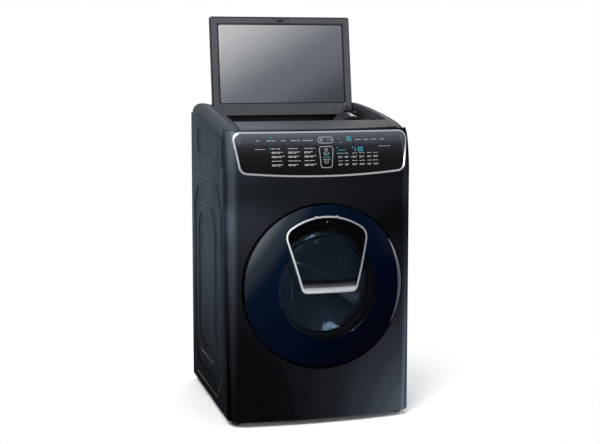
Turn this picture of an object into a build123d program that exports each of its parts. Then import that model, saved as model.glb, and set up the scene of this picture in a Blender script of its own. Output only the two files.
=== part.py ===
from build123d import *
from math import atan2, cos, degrees, radians, sin, sqrt
import os

os.makedirs("parts", exist_ok=True)

# Two-in-one washing machine: a front-loading washer under a small top-loading one.
# Millimetres. X to the viewer's right, Y to the rear, Z up from the floor.
# While a piece is made, Y is measured from the foremost line of the front panel.

# Clearances
SEAM_GAP = 0.4
RUNNING_FIT = 0.05
SOFT_GAP = 0.3
OVERCUT = 1.0

# Cabinet
WIDTH = 686.0
DEPTH = 742.0
BEAD_HEIGHT = 3.0
SHEET = 1.2
CABINET_BOTTOM = 20.0
FRONT_BOW = 27.0
FRONT_CORNER = 58.0
FRONT_WALL = 1.6
SEAM_Y = 124.0
REAR_RECESS = 16.0
REAR_TOP = 1088.0
BODY_HALF = WIDTH / 2 - BEAD_HEIGHT
REAR_Y = DEPTH - REAR_RECESS

# Rings pressed into the side panels, as distances from the front and heights
UPPER_RING = [(138, 916), (665, 916), (665, 1058), (138, 1029)]
UPPER_RING_IN = [(187, 945), (602, 945), (602, 1032), (187, 1010)]
OUTER_RING = [(160, 160), (250, 57), (640, 57), (715, 150),
              (715, 760), (640, 850), (250, 850), (160, 750)]
OUTER_RING_IN = [(202, 186), (275, 106), (610, 106), (668, 176),
                 (668, 736), (610, 804), (275, 804), (202, 728)]
INNER_RING = [(275, 240), (330, 166), (565, 166), (618, 230),
              (618, 690), (565, 746), (330, 746), (275, 680)]
INNER_RING_IN = [(306, 256), (346, 204), (546, 204), (584, 248),
                 (584, 668), (546, 706), (346, 706), (306, 662)]
RING_ROUND = 26.0
BEAD_TAPER = 40.0

# Transit bolts, rear access cover and screws
TRANSIT_IN = 90.0
TRANSIT_Z = 170.0
TRANSIT_R = 9.0
ACCESS_IN = 55.0
ACCESS_LAP = 22.0
ACCESS_ROUND = 40.0
ACCESS_RISE = 4.0
SCREW_R = 4.5
SCREW_HEAD = 2.5
SCREW_LOW = 120.0
TRANSIT_X = BODY_HALF - TRANSIT_IN
ACCESS_HALF = TRANSIT_X - ACCESS_IN

# Front door
DOOR_Z = 502.0
DOOR_SIDE = 49.0
DOOR_BULGE = 70.0
DOOR_GAP = 8.0
DOOR_COVER_WALL = 4.0
DOOR_RING_WIDE = 88.0
DOOR_BACK = 32.0
DOOR_RING_WALL = 3.0
DOME_BACK = 60.0
DISH_FLOOR = 46.0
MOUTH_IN = 7.0
WINDOW_IN = 24.0
BOWL_CLEAR = 21.0
BOWL_TAPER = 34.0
BOWL_BACK = 112.0
BOWL_WALL = 5.0
BOWL_FLANGE = 20.0
GRIP_CHORD = 176.0
GRIP_WIDE = 18.0
GRIP_SINK = 8.0
GRIP_WALL = 5.0
DOOR_R = BODY_HALF - DOOR_SIDE
DOOR_RING_IN = DOOR_R - DOOR_RING_WIDE
MOUTH_R = DOOR_RING_IN - MOUTH_IN
WINDOW_R = DOOR_RING_IN - WINDOW_IN
BOWL_R = MOUTH_R - BOWL_CLEAR
BOWL_TIP_R = BOWL_R - BOWL_TAPER
GRIP_X = DOOR_R - GRIP_WIDE

# Main washer
TUB_IN = 12.0
TUB_WALL = 5.0
TUB_FRONT = 114.0
TUB_JOINT = 350.0
TUB_BEHIND = 126.0
TUB_LIP_OUT = 7.0
TUB_LIP = 10.0
TUB_FLANGE = 6.0
BASKET_IN = 22.0
BASKET_WALL = 1.5
BASKET_FRONT = 128.0
BASKET_BEHIND = 44.0
BASKET_MOUTH_IN = 5.0
MOUTH_LIP = 6.0
LIFTERS = 3
LIFTER_TURN = 60.0
LIFTER_END = 22.0
LIFTER_HALF = 30.0
LIFTER_TIP = 11.0
LIFTER_HEIGHT = 60.0
SHAFT_R = 15.0
SHAFT_PAST = 76.0
SPIDER_DEEP = 26.0
SPIDER_ARM = 22.0
HUB_R = 45.0
HUB_PAST = 50.0
BEARING_R = 31.0
BEARING_LENGTH = 16.0
STATOR_R = 120.0
STATOR_DEEP = 32.0
STATOR_GAP = 1.0
ROTOR_R = 138.0
ROTOR_PLATE = 4.0
GASKET_LIP = 8.0
GASKET_WALL = 3.0
GASKET_FOLDS = [57.0, 69.0, 85.0, 98.0]
WEIGHT_CLEAR = 9.0
WEIGHT_CUT = 120.0
TUB_R = DOOR_R - TUB_IN
TUB_REAR = REAR_Y - TUB_BEHIND
TUB_LIP_R = MOUTH_R + TUB_LIP_OUT
BASKET_R = TUB_R - BASKET_IN
BASKET_REAR = TUB_REAR - BASKET_BEHIND
BASKET_MOUTH_R = MOUTH_R - BASKET_MOUTH_IN
SHAFT_REAR = TUB_REAR + SHAFT_PAST
HUB_REAR = TUB_REAR + HUB_PAST

# Base and feet
BASE_HEIGHT = 45.0
BASE_WALL = 2.0
BOSS_R = 14.0
FOOT_IN = 37.0
FOOT_FRONT_Y = 85.0
FOOT_REAR_IN = 52.0
FOOT_R = 19.0
FOOT_PAD = 12.0
STUD_R = 5.0
STUD_TOP = 57.0
FOOT_X = BODY_HALF - FOOT_IN
FOOT_REAR_Y = DEPTH - FOOT_REAR_IN

# Console
CONSOLE_BOTTOM = 889.0
CONSOLE_TOP = 1056.0
CONSOLE_LEAN = 42.0
CONSOLE_SWEEP = 77.0
CONSOLE_SECTIONS = 5
CONSOLE_WALL = 2.5
FASCIA_IN = 20.0
FASCIA_LOW = 899.0
FASCIA_RISE = 14.0
FASCIA_HIGH = 1046.0
FASCIA_TAPER = 24.0
FASCIA_CORNER = 24.0
TRIM_WIDTH = 6.0
TRIM_PROUD = 2.0
KEY_X = 7.0
SMALL_KEY_Z = 1021.0
SMALL_KEY_WIDTH = 56.0
SMALL_KEY_HEIGHT = 23.0
SMALL_KEY_ROUND = 10.4
LARGE_KEY_LOW = 924.0
LARGE_KEY_HIGH = 1000.0
LARGE_KEY_HALF = 27.0
LARGE_KEY_FOOT = 21.0
KEY_ROUND = 11.0
KEY_LINE = 2.4
KEY_PROUD = 0.6
KEY_SINK = 1.2
BOARD_HALF = 170.0
BOARD_Y = 72.0
BOARD_DEEP = 32.0
BOARD_LOW = 915.0
BOARD_HIGH = 985.0
FASCIA_HALF = BODY_HALF - FASCIA_IN

# Shoulders of the top cover: height of the crest at distances from the front
CREST = [(62.0, 1050.0), (110.0, 1066.0), (182.0, 1082.0), (318.0, 1101.0), (450.0, 1116.0),
         (560.0, 1125.0), (690.0, 1128.0)]
CREST_START = (1, 0.36)
CREST_BEHIND = 52.0
SHOULDER_WIDE = 48.0
SHOULDER_ROUND = 34.0
SEAM_DROP = 36.0
COVER_WALL = 2.5
COVER_FLOOR = 980.0
BRIDGE_DEEP = 139.0
BRIDGE_LOW = 1112.0
BRIDGE_DROP = 5.0
REAR_ROUND = 38.0
SHOULDER_IN = BODY_HALF - SHOULDER_WIDE
BRIDGE_FRONT = DEPTH - BRIDGE_DEEP

# Strip between the console and the lid
STRIP_REAR = 161.0
STRIP_HIGH = 1082.0
STRIP_WALL = 3.0
STRIP_FOOT = 988.0

# Lid, shown open
HINGE_AHEAD = 53.0
HINGE_Z = 1092.0
HINGE_PIN_R = 4.0
HINGE_BLOCK = 10.0
HINGE_COVER = 4.0
PIN_GRIP = 22.0
PIN_TAIL = 5.0
LID_LEAN = 8.5
LID_SLOPE = 7.5
LID_SIDE_GAP = 7.0
LID_FRONT_GAP = 4.0
LID_TAIL = 6.0
LID_RISE = 20.0
LID_THICK = 20.0
LID_WALL = 2.5
LID_EDGE = 3.0
LID_CORNER = 8.0
LID_FRAME = 6.0
LID_BORDER = 33.0
LID_PANEL_LOW = 44.0
LID_GROOVE = 4.0
LID_PANEL_PROUD = 1.5
LATCH_NOTCH = 36.0
LATCH_DEEP = 9.0
BUMPER_R = 5.0
BUMPER_RISE = 2.0
HINGE_Y = BRIDGE_FRONT - HINGE_AHEAD
LID_HALF = SHOULDER_IN - LID_SIDE_GAP
LID_LENGTH = HINGE_Y - STRIP_REAR - LID_FRONT_GAP

# Deck under the lid
DECK_DROP = 46.0
DECK_PLATE = 3.0
DECK_GAP = 0.3
DECK_LIP = 12.0
DECK_TAIL = 44.0
DECK_RIM = 18.0
DECK_BACK = -16.0

# Top washer
UPPER_X = -45.0
UPPER_CLEAR = 8.5
UPPER_MOUTH_IN = 16.0
UPPER_BASKET_IN = 20.0
UPPER_TUB_DROP = 5.75
UPPER_WALL = 4.0
UPPER_HUB_R = 30.0
UPPER_HUB_DROP = 10.0
UPPER_SLEEVE_R = 16.0
UPPER_SHAFT_R = 10.0
UPPER_BASKET_DROP = 6.0
UPPER_BASKET_WALL = 1.5
UPPER_MOTOR_R = 95.0
UPPER_MOTOR_CLEAR = 14.0
UPPER_MOTOR_TALL = 44.0
RIM_HEIGHT = 6.0
ROD_R = 4.0
ROD_BOSS = 12.0
PULSATOR_IN = 36.0
PULSATOR_CONE = 52.0
PULSATOR_GAP = 1.5
PULSATOR_THICK = 9.0
VANES = 6
VANE_HEIGHT = 24.0
VANE_WIDTH = 12.0
UPPER_Y = (HINGE_Y + STRIP_REAR) / 2
UPPER_TUB_R = (HINGE_Y - STRIP_REAR) / 2 - UPPER_CLEAR
UPPER_OPENING_R = UPPER_TUB_R - UPPER_MOUTH_IN
UPPER_BASKET_R = UPPER_TUB_R - UPPER_BASKET_IN
PULSATOR_R = UPPER_BASKET_R - PULSATOR_IN
UPPER_MOTOR_LOW = DOOR_Z + TUB_R + UPPER_MOTOR_CLEAR
UPPER_TUB_BOTTOM = UPPER_MOTOR_LOW + UPPER_MOTOR_TALL
UPPER_TUB_TOP = HINGE_Z - DECK_DROP - LID_LENGTH * sin(radians(LID_SLOPE)) - UPPER_TUB_DROP
UPPER_BASKET_TOP = UPPER_TUB_TOP - UPPER_BASKET_DROP

# Dispenser on the deck
DISPENSER_IN = 60.0
DISPENSER_HALF = 54.0
DISPENSER_RISE = 58.0
DISPENSER_FRONT = 150.0
DISPENSER_LENGTH = 95.0
DISPENSER_MOUTH = 12.0
DISPENSER_WALL = 2.5
DRAWER_HALF = 36.0
DRAWER_HEIGHT = 18.0
DRAWER_GAP = 0.5
FINGER_R = 14.0
DISPENSER_X = SHOULDER_IN - DISPENSER_IN

# Suspension
HANGER_LAP = 15.0
HANGER_OVER = 6.0
HANGER_HALF = 40.0
HANGER_PLATE = 4.0
SPRING_IN = 73.0
SPRING_Y = 430.0
SPRING_R = 14.0
SPRING_WIRE = 4.0
DAMPER_FRONT_Y = 225.0
DAMPER_REAR_IN = 80.0
DAMPER_R = 18.0
DAMPER_ROD = 80.0
LUG_HALF = 18.0
LUG_UP = 56.0
LUG_DOWN = 50.0
SPRING_X = TUB_R - SPRING_IN
HANGER_IN = SPRING_X - HANGER_LAP
HANGER_Z = DOOR_Z + TUB_R + HANGER_OVER
DAMPER_REAR_Y = TUB_REAR - DAMPER_REAR_IN
LUG_LOW = DOOR_Z - TUB_R + LUG_UP
LUG_HIGH = DOOR_Z + TUB_R - LUG_DOWN

# Drain
FILTER_IN = 162.0
FILTER_Z = 90.0
FILTER_R = 28.0
FILTER_FRONT = 58.0
FILTER_COVER_HALF = 53.0
FILTER_COVER_LOW = 40.0
FILTER_COVER_HIGH = 138.0
FLAP_WALL = 2.5
FLAP_GAP = 1.2
FLAP_PIN_R = 0.9
FLAP_PIN_RISE = 1.8
FLAP_LUG = 7.0
PUMP_WALL = 4.0
PUMP_LENGTH = 84.0
PUMP_MOTOR = 52.0
PUMP_MOTOR_R = 25.0
PUMP_FOOT = 20.0
FILTER_X = FILTER_IN - BODY_HALF

# Rear fittings; a flange is this many times as wide as its pipe
FLANGE = 1.5
SPIGOT_R = 13.2
SPIGOT_WALL = 3.0
SPIGOT_GAP = 2.0
VALVE_IN = 105.0
VALVE_Z = 1010.0
VALVE_PITCH = 60.0
DRAIN_R = 15.0
DRAIN_IN = 105.0
DRAIN_Z = 930.0
CORD_R = 11.0
CORD_X = -100.0
CORD_Z = 1010.0
VALVE_X = BODY_HALF - VALVE_IN
DRAIN_X = DRAIN_IN - BODY_HALF

# Hinge and lock of the front door; the bracket's arm is drawn about the pin, to the right and rear
HINGE_IN = 15.0
DOOR_HINGE_Y = 8.0
DOOR_PIN_R = 4.0
DOOR_NOTCH = 52.0
DOOR_NOTCH_DEEP = 36.0
HINGE_KNUCKLE = 22.0
HINGE_LEAF = 6.0
HINGE_ARM = [(-6, -6), (4, -6), (30, 20), (36, 35), (15, 35), (6, 9), (-6, 6)]
HINGE_BASE = (12, 39)
LATCH_IN = 18.0
LATCH_REACH = 70.0
HOOK_HALF = 3.0
HOOK_TALL = 8.0
HOOK_EYE_R = 4.0
HOOK_EYE_IN = 10.0
SLOT_IN = 8.0
SLOT_OUT = 13.0
SLOT_TALL = 14.0
LOCK_HALF = 22.0
DOOR_HINGE_X = HINGE_IN - DOOR_R
LATCH_X = DOOR_R - LATCH_IN

# Add-item door, heights from the middle of the front door
ADD_TOP_IN = 36.0
ADD_SHOULDER = 196.0
ADD_SHOULDER_HALF = 154.0
ADD_BOTTOM = -9.0
ADD_BOTTOM_HALF = 98.0
ADD_CORNER = 42.0
ADD_FOOT_CORNER = 20.0
ADD_TRIM = 6.0
ADD_TRIM_PROUD = 3.0
ADD_GAP = 2.5
ADD_WALL = 9.0
ADD_PULL = 22.0
ADD_GLASS = 5.0
ADD_GLASS_LOW = 28.0
ADD_PIN_R = 2.5
ADD_PIN_HALF = 34.0
ADD_PIN_DROP = 4.5
ADD_PIN_COVER = 0.5
ADD_EAR = 8.0
ADD_EAR_R = 5.0
ADD_EAR_GAP = 0.8
ADD_MOUTH_HALF = 84.0
ADD_MOUTH_LOW = 24.0
ADD_MOUTH_HIGH = 138.0
ADD_TOP = DOOR_R - ADD_TOP_IN

MIDDLE_Y = (DEPTH - DOOR_BULGE - ADD_TRIM_PROUD) / 2


def save(name, shape):
    """Write one piece, moved so that the origin lies under the middle of the machine."""
    export_step(Pos(0, -MIDDLE_Y, 0) * shape, f"parts/{name}.step")


def block(x0, x1, y0, y1, z0, z1):
    """Box between two corners."""
    middle = Pos((x0 + x1) / 2, (y0 + y1) / 2, (z0 + z1) / 2)
    return middle * Box(x1 - x0, y1 - y0, z1 - z0)


def bar_x(radius, x0, x1, y, z):
    """Round bar along X."""
    return Pos((x0 + x1) / 2, y, z) * Rot(0, 90, 0) * Cylinder(radius, x1 - x0)


def bar_y(radius, y0, y1, x, z):
    """Round bar along Y."""
    return Pos(x, (y0 + y1) / 2, z) * Rot(90, 0, 0) * Cylinder(radius, y1 - y0)


def bar_z(radius, z0, z1, x, y):
    """Round bar along Z."""
    return Pos(x, y, (z0 + z1) / 2) * Cylinder(radius, z1 - z0)


def outline(*points):
    """Face inside a closed run of straight lines."""
    return make_face(Polyline(*points, close=True))


def through_x(face, x0, x1):
    """Outline drawn in Y and Z, given thickness along X."""
    return extrude(Plane.YZ.offset(x0) * face, x1 - x0)


def through_y(face, y0, y1):
    """Outline drawn in X and Z, given thickness along Y."""
    return extrude(Plane.XZ.offset(-y1) * face, y1 - y0)


def through_z(face, z0, z1):
    """Outline drawn in X and Y, given thickness along Z."""
    return extrude(Pos(0, 0, z0) * face, z1 - z0)


def round_y(face):
    """Profile drawn as radius and depth, turned about the axis of the front door and drum."""
    return Pos(0, 0, DOOR_Z) * revolve(face, Axis.Y)


def at_depth(points):
    """Points drawn as distances from the front and heights, stretched until the crest fits the depth."""
    stretch = (DEPTH - CREST_BEHIND) / CREST[-1][0]
    return [(y * stretch, z) for y, z in points]


def mirrored(shape):
    """The same shape on the other side of the machine."""
    return mirror(shape, Plane.YZ)


# The bowed front of the cabinet

def bow_radius():
    return (BODY_HALF ** 2 + FRONT_BOW ** 2) / (2 * FRONT_BOW)


def bow(x):
    """How far the front panel lies behind its foremost line."""
    return bow_radius() - sqrt(bow_radius() ** 2 - x ** 2)


def plan(inset, setback, rear):
    """Plan of the cabinet's front: one wide arc, two corner arcs and straight sides."""
    wide = bow_radius() - inset
    corner = FRONT_CORNER - inset
    side = BODY_HALF - inset
    centre = Vector(0, setback + bow_radius())
    corner_x = BODY_HALF - FRONT_CORNER
    corner_y = centre.Y - sqrt((bow_radius() - FRONT_CORNER) ** 2 - corner_x ** 2)
    pivot = Vector(corner_x, corner_y)
    outward = (pivot - centre).normalized()
    tangent = centre + outward * wide
    middle = pivot + (outward + Vector(1, 0)).normalized() * corner
    front = centre - Vector(0, wide)

    def left(point):
        return (-point.X, point.Y)

    edges = [
        ThreePointArc(left(tangent), (front.X, front.Y), (tangent.X, tangent.Y)),
        ThreePointArc((tangent.X, tangent.Y), (middle.X, middle.Y), (side, corner_y)),
        Line((side, corner_y), (side, rear)),
        Line((side, rear), (-side, rear)),
        Line((-side, rear), (-side, corner_y)),
        ThreePointArc((-side, corner_y), left(middle), left(tangent)),
    ]
    return make_face(edges)


def console_body(inset, rear=SEAM_Y):
    """The front above the door, leaning back along a quarter of an ellipse."""
    sections = []
    for step in range(CONSOLE_SECTIONS):
        angle = radians(CONSOLE_SWEEP * step / (CONSOLE_SECTIONS - 1))
        lean = CONSOLE_LEAN * (1 - cos(angle)) / (1 - cos(radians(CONSOLE_SWEEP)))
        rise = (CONSOLE_TOP - CONSOLE_BOTTOM) * sin(angle) / sin(radians(CONSOLE_SWEEP))
        sections.append(Pos(0, 0, CONSOLE_BOTTOM + rise) * plan(inset, lean, rear))
    return loft(sections)


def fascia_outline(grow):
    """Front view of the console's face, grown on all sides."""
    half = FASCIA_HALF + grow
    foot = half - FASCIA_TAPER
    low = FASCIA_LOW - grow
    high = FASCIA_HIGH + grow
    edges = [
        ThreePointArc((-foot, low + FASCIA_RISE), (0, low), (foot, low + FASCIA_RISE)),
        Line((foot, low + FASCIA_RISE), (half, high)),
        Line((half, high), (-half, high)),
        Line((-half, high), (-foot, low + FASCIA_RISE)),
    ]
    face = make_face(edges)
    return fillet(face.vertices(), FASCIA_CORNER + grow)


def make_front_panel():
    shell = through_z(plan(0, 0, SEAM_Y), CABINET_BOTTOM, CONSOLE_BOTTOM - SEAM_GAP)
    shell -= through_z(plan(FRONT_WALL, 0, SEAM_Y + OVERCUT), 0, CONSOLE_BOTTOM)
    dish_r = DOOR_R + DOOR_GAP
    shell -= bar_y(dish_r, -FRONT_BOW, SEAM_Y, 0, DOOR_Z)
    wall = round_y(outline((dish_r, -FRONT_BOW), (dish_r + FRONT_WALL, -FRONT_BOW),
                           (dish_r + FRONT_WALL, DISH_FLOOR + FRONT_WALL),
                           (MOUTH_R, DISH_FLOOR + FRONT_WALL), (MOUTH_R, DISH_FLOOR),
                           (dish_r, DISH_FLOOR)))
    wall &= through_z(plan(0, 0, SEAM_Y), CABINET_BOTTOM, CONSOLE_BOTTOM)
    panel = shell + wall
    lugs = filter_window(FLAP_GAP + FLAP_LUG) & through_z(plan(0, 0, SEAM_Y), FILTER_COVER_LOW - FLAP_GAP,
                                                          FILTER_COVER_LOW + FLAP_LUG)
    lugs -= through_z(plan(FLAP_LUG, 0, SEAM_Y + OVERCUT), 0, CONSOLE_BOTTOM)
    panel = panel + lugs - filter_window(FLAP_GAP) - flap_pin(FLAP_PIN_R + RUNNING_FIT, FLAP_LUG)
    return panel - lock_slot(DISH_FLOOR - OVERCUT, DISH_FLOOR + FRONT_WALL + OVERCUT)


def filter_window(gap):
    """Room in the cabinet's front for the drain filter's cover, with a gap round it."""
    return block(FILTER_X - FILTER_COVER_HALF - gap, FILTER_X + FILTER_COVER_HALF + gap, -FRONT_BOW,
                 FOOT_FRONT_Y / 2, FILTER_COVER_LOW - gap, FILTER_COVER_HIGH + gap)


def flap_pin(radius, reach):
    """Line of the filter cover's hinge, along its lower edge and past both its sides."""
    left = FILTER_X - FILTER_COVER_HALF
    right = FILTER_X + FILTER_COVER_HALF
    turn = degrees(atan2(bow(right) - bow(left), right - left))
    middle = Pos(FILTER_X, (bow(left) + bow(right) + FLAP_WALL) / 2, FILTER_COVER_LOW + FLAP_PIN_RISE)
    return middle * Rot(0, 0, turn) * Rot(0, 90, 0) * Cylinder(radius, 2 * (FILTER_COVER_HALF + reach))


def lock_slot(front, rear):
    """Slot that the latch hook of the front door swings through."""
    return block(LATCH_X - SLOT_IN, LATCH_X + SLOT_OUT, front, rear, DOOR_Z - SLOT_TALL, DOOR_Z + SLOT_TALL)


# Cabinet panels

def crest_line(drop):
    """Crest of a shoulder seen from the side, lowered by a drop."""
    points = [(y, z - drop) for y, z in at_depth(CREST)]
    return Spline(*points, tangents=[CREST_START, (1, 0)])


def crest_face(drop, floor, rear):
    """Everything under the crest, down to a floor."""
    front, *_, last = at_depth(CREST)
    edges = [
        crest_line(drop),
        Line((last[0], last[1] - drop), (rear, last[1] - drop)),
        Line((rear, last[1] - drop), (rear, floor)),
        Line((rear, floor), (front[0], floor)),
        Line((front[0], floor), (front[0], front[1] - drop)),
    ]
    return make_face(edges)


def bead_ring(outer, inner):
    """Raised ring pressed into a side panel, with the hollow behind it."""
    outer_face = fillet(outline(*at_depth(outer)).vertices(), RING_ROUND)
    inner_face = fillet(outline(*at_depth(inner)).vertices(), RING_ROUND)
    base = Plane.YZ.offset(BODY_HALF)
    raised = extrude(base * outer_face, BEAD_HEIGHT, taper=BEAD_TAPER)
    raised -= extrude(base * inner_face, BEAD_HEIGHT, taper=-BEAD_TAPER)
    hollow_outer = offset(outer_face, amount=-2 * BEAD_HEIGHT)
    hollow_inner = offset(inner_face, amount=2 * BEAD_HEIGHT)
    back = BODY_HALF - SHEET
    hollow = through_x(hollow_outer, back, back + BEAD_HEIGHT)
    hollow -= through_x(hollow_inner, back, back + BEAD_HEIGHT)
    return raised, hollow


def make_side_panel():
    face = crest_face(SEAM_DROP + SEAM_GAP, CABINET_BOTTOM, DEPTH)
    panel = through_x(face, BODY_HALF - SHEET, BODY_HALF)
    panel -= block(0, WIDTH, 0, SEAM_Y + SEAM_GAP, 0, 2 * CONSOLE_TOP)
    rings = [(UPPER_RING, UPPER_RING_IN), (OUTER_RING, OUTER_RING_IN), (INNER_RING, INNER_RING_IN)]
    for outer, inner in rings:
        raised, hollow = bead_ring(outer, inner)
        panel = panel + raised - hollow
    back = BODY_HALF - SHEET
    panel += block(HANGER_IN, back, SPRING_Y - HANGER_HALF, SPRING_Y + HANGER_HALF,
                   HANGER_Z, HANGER_Z + HANGER_PLATE)
    panel += block(back - HANGER_PLATE, back, SPRING_Y - HANGER_HALF, SPRING_Y + HANGER_HALF,
                   OUTER_RING_IN[5][1] - 3 * HANGER_HALF, HANGER_Z)
    return panel


def make_rear_panel():
    half = BODY_HALF - SHEET - SEAM_GAP
    panel = block(-half, half, REAR_Y - SHEET, REAR_Y, CABINET_BOTTOM, REAR_TOP)
    hole = through_y(Pos(0, DOOR_Z) * RectangleRounded(2 * ACCESS_HALF, 2 * ACCESS_HALF, ACCESS_ROUND),
                     REAR_Y - 2 * SHEET, REAR_Y + SHEET)
    panel -= hole
    holes = [(SPIGOT_R + SPIGOT_GAP, x, VALVE_Z) for x in valve_spots()]
    holes.append((DRAIN_R + SPIGOT_GAP, DRAIN_X, DRAIN_Z))
    holes.append((CORD_R + SEAM_GAP, CORD_X, CORD_Z))
    for x in (-TRANSIT_X, TRANSIT_X):
        for z in (DOOR_Z - TRANSIT_Z, DOOR_Z + TRANSIT_Z):
            holes.append((TRANSIT_R, x, z))
    for radius, x, z in holes:
        panel -= bar_y(radius, REAR_Y - 2 * SHEET, REAR_Y + SHEET, x, z)
    return panel


def valve_spots():
    return (VALVE_X - VALVE_PITCH / 2, VALVE_X + VALVE_PITCH / 2)


def make_rear_access_cover():
    half = ACCESS_HALF + ACCESS_LAP
    plate = through_y(Pos(0, DOOR_Z) * RectangleRounded(2 * half, 2 * half, ACCESS_ROUND),
                      REAR_Y, REAR_Y + SHEET)
    side = 2 * ACCESS_HALF - ACCESS_ROUND
    field = RectangleRounded(side, side, ACCESS_ROUND)
    start = Plane.XZ.offset(-REAR_Y - SHEET)
    raised = extrude(start * Pos(0, DOOR_Z) * field, -ACCESS_RISE, taper=BEAD_TAPER)
    return plate + raised


def make_panel_screws():
    spots = []
    half = ACCESS_HALF + ACCESS_LAP / 2
    for x in (-half, 0, half):
        for z in (DOOR_Z - half, DOOR_Z + half):
            spots.append((x, REAR_Y + SHEET, z))
    edge = BODY_HALF - 3 * SCREW_R
    for x in (-edge, edge):
        for z in (SCREW_LOW, CONSOLE_BOTTOM):
            spots.append((x, REAR_Y, z))
    heads = [bar_y(SCREW_R, y, y + SCREW_HEAD, x, z) for x, y, z in spots]
    return Compound([head.solid() for head in heads])


def make_base_frame():
    low = CABINET_BOTTOM + BASE_WALL
    rear = REAR_Y - SHEET - SEAM_GAP
    inset = FRONT_WALL + SEAM_GAP
    base = through_z(plan(inset, 0, rear), low, low + BASE_HEIGHT)
    base -= through_z(plan(inset + BASE_WALL, 0, rear - BASE_WALL), low + BASE_WALL, low + 2 * BASE_HEIGHT)
    base -= filter_window(FLAP_LUG + 2 * FLAP_GAP)
    for x, y in foot_spots():
        base += bar_z(BOSS_R, low, low + BASE_HEIGHT - BASE_WALL, x, y)
    for x, y in foot_spots():
        base -= bar_z(STUD_R + RUNNING_FIT, 0, low + BASE_HEIGHT, x, y)
    return base


def foot_spots():
    return [(x, y) for y in (FOOT_FRONT_Y, FOOT_REAR_Y) for x in (-FOOT_X, FOOT_X)]


def make_foot(x, y):
    """Levelling foot: a round pad on a threaded stud."""
    pad = bar_z(FOOT_R, 0, FOOT_PAD, x, y)
    pad = chamfer(pad.edges().group_by(Axis.Z)[-1], FOOT_PAD / 3)
    return pad + bar_z(STUD_R, FOOT_PAD, STUD_TOP, x, y)


# Top cover with its two shoulders

def shoulder(inset):
    """Right shoulder, rounded at the rear and along its outer edge."""
    face = crest_face(inset, COVER_FLOOR, DEPTH - inset)
    corner = face.vertices().group_by(Axis.X)[-1].sort_by(Axis.Y)[-1]
    face = fillet(corner, REAR_ROUND - inset)
    solid = through_x(face, SHOULDER_IN + inset, BODY_HALF - inset)
    rim = solid.edges().group_by(Axis.X)[-1]
    top = [edge for edge in rim if edge.center().Z > CREST[0][1] and edge.length > 2 * COVER_WALL]
    return fillet(top, SHOULDER_ROUND - inset)


def bridge(inset):
    """Rear of the top cover, between the shoulders."""
    high = CREST[-1][1] - BRIDGE_DROP - inset
    rear = DEPTH - inset
    face = outline((BRIDGE_FRONT + inset, COVER_FLOOR), (BRIDGE_FRONT + inset, BRIDGE_LOW - inset),
                   (BRIDGE_FRONT + 2 * REAR_ROUND, high), (DEPTH - REAR_ROUND, high),
                   (rear, high - REAR_ROUND / 2), (rear, COVER_FLOOR))
    half = SHOULDER_IN + COVER_WALL - inset
    return through_x(face, -half, half)


def make_top_cover():
    outer = shoulder(0) + mirrored(shoulder(0)) + bridge(0)
    cover = outer - shoulder(COVER_WALL) - mirrored(shoulder(COVER_WALL)) - bridge(COVER_WALL)
    below = crest_face(SEAM_DROP, 0, 2 * DEPTH)
    cover -= through_x(below, -WIDTH, WIDTH)
    cover &= through_z(plan(0, CONSOLE_LEAN, 2 * DEPTH), COVER_FLOOR, 2 * CONSOLE_TOP)
    cover -= block(-WIDTH, WIDTH, 0, SEAM_Y + SEAM_GAP, 0, CONSOLE_TOP + SEAM_GAP)
    return cover - hinge_bore(0)


def hinge_bore(play):
    """The line of the lid's hinge, as a long round bar."""
    return bar_x(HINGE_PIN_R + play, -WIDTH, WIDTH, HINGE_Y, HINGE_Z)


def make_lid_hinge_pins():
    pin = bar_x(HINGE_PIN_R, LID_HALF - PIN_GRIP, SHOULDER_IN + COVER_WALL + PIN_TAIL, HINGE_Y, HINGE_Z)
    return Compound([pin.solid(), mirrored(pin).solid()])


# Console

def make_console_surround():
    shell = console_body(0) - console_body(CONSOLE_WALL, SEAM_Y + OVERCUT)
    return shell - through_y(fascia_outline(TRIM_WIDTH), -FRONT_BOW, SEAM_Y)


def make_console_fascia():
    shell = console_body(0) - console_body(CONSOLE_WALL)
    shell &= through_y(fascia_outline(0), -FRONT_BOW, SEAM_Y - CONSOLE_WALL)
    for ring in key_rings():
        shell -= ring
    return shell


def make_console_trim():
    shell = console_body(-TRIM_PROUD) - console_body(CONSOLE_WALL + TRIM_PROUD)
    band = fascia_outline(TRIM_WIDTH) - fascia_outline(0)
    return shell & through_y(band, -FRONT_BOW - TRIM_PROUD, SEAM_Y - CONSOLE_WALL)


def key_rings():
    """The two bright key outlines, let into the face of the fascia."""
    small = Pos(KEY_X, SMALL_KEY_Z) * RectangleRounded(SMALL_KEY_WIDTH, SMALL_KEY_HEIGHT, SMALL_KEY_ROUND)
    large = outline((KEY_X - LARGE_KEY_HALF, LARGE_KEY_HIGH), (KEY_X + LARGE_KEY_HALF, LARGE_KEY_HIGH),
                    (KEY_X + LARGE_KEY_FOOT, LARGE_KEY_LOW), (KEY_X - LARGE_KEY_FOOT, LARGE_KEY_LOW))
    large = fillet(large.vertices(), KEY_ROUND)
    bands = [face - offset(face, amount=-KEY_LINE) for face in (small, large)]
    solids = [through_y(band, -FRONT_BOW, SEAM_Y - CONSOLE_WALL) for band in bands]
    shell = console_body(-KEY_PROUD) - console_body(KEY_SINK)
    return [(shell & solid).solid() for solid in solids]


def make_control_board():
    case = block(-BOARD_HALF, BOARD_HALF, BOARD_Y, BOARD_Y + BOARD_DEEP, BOARD_LOW, BOARD_HIGH)
    posts = []
    inside = console_body(CONSOLE_WALL)
    for x in (-BOARD_HALF + BOSS_R, BOARD_HALF - BOSS_R):
        for z in (BOARD_LOW + BOSS_R, BOARD_HIGH - BOSS_R):
            posts.append(bar_y(STUD_R, 0, BOARD_Y + OVERCUT, x, z) & inside)
    for post in posts:
        case += post
    return case


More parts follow.
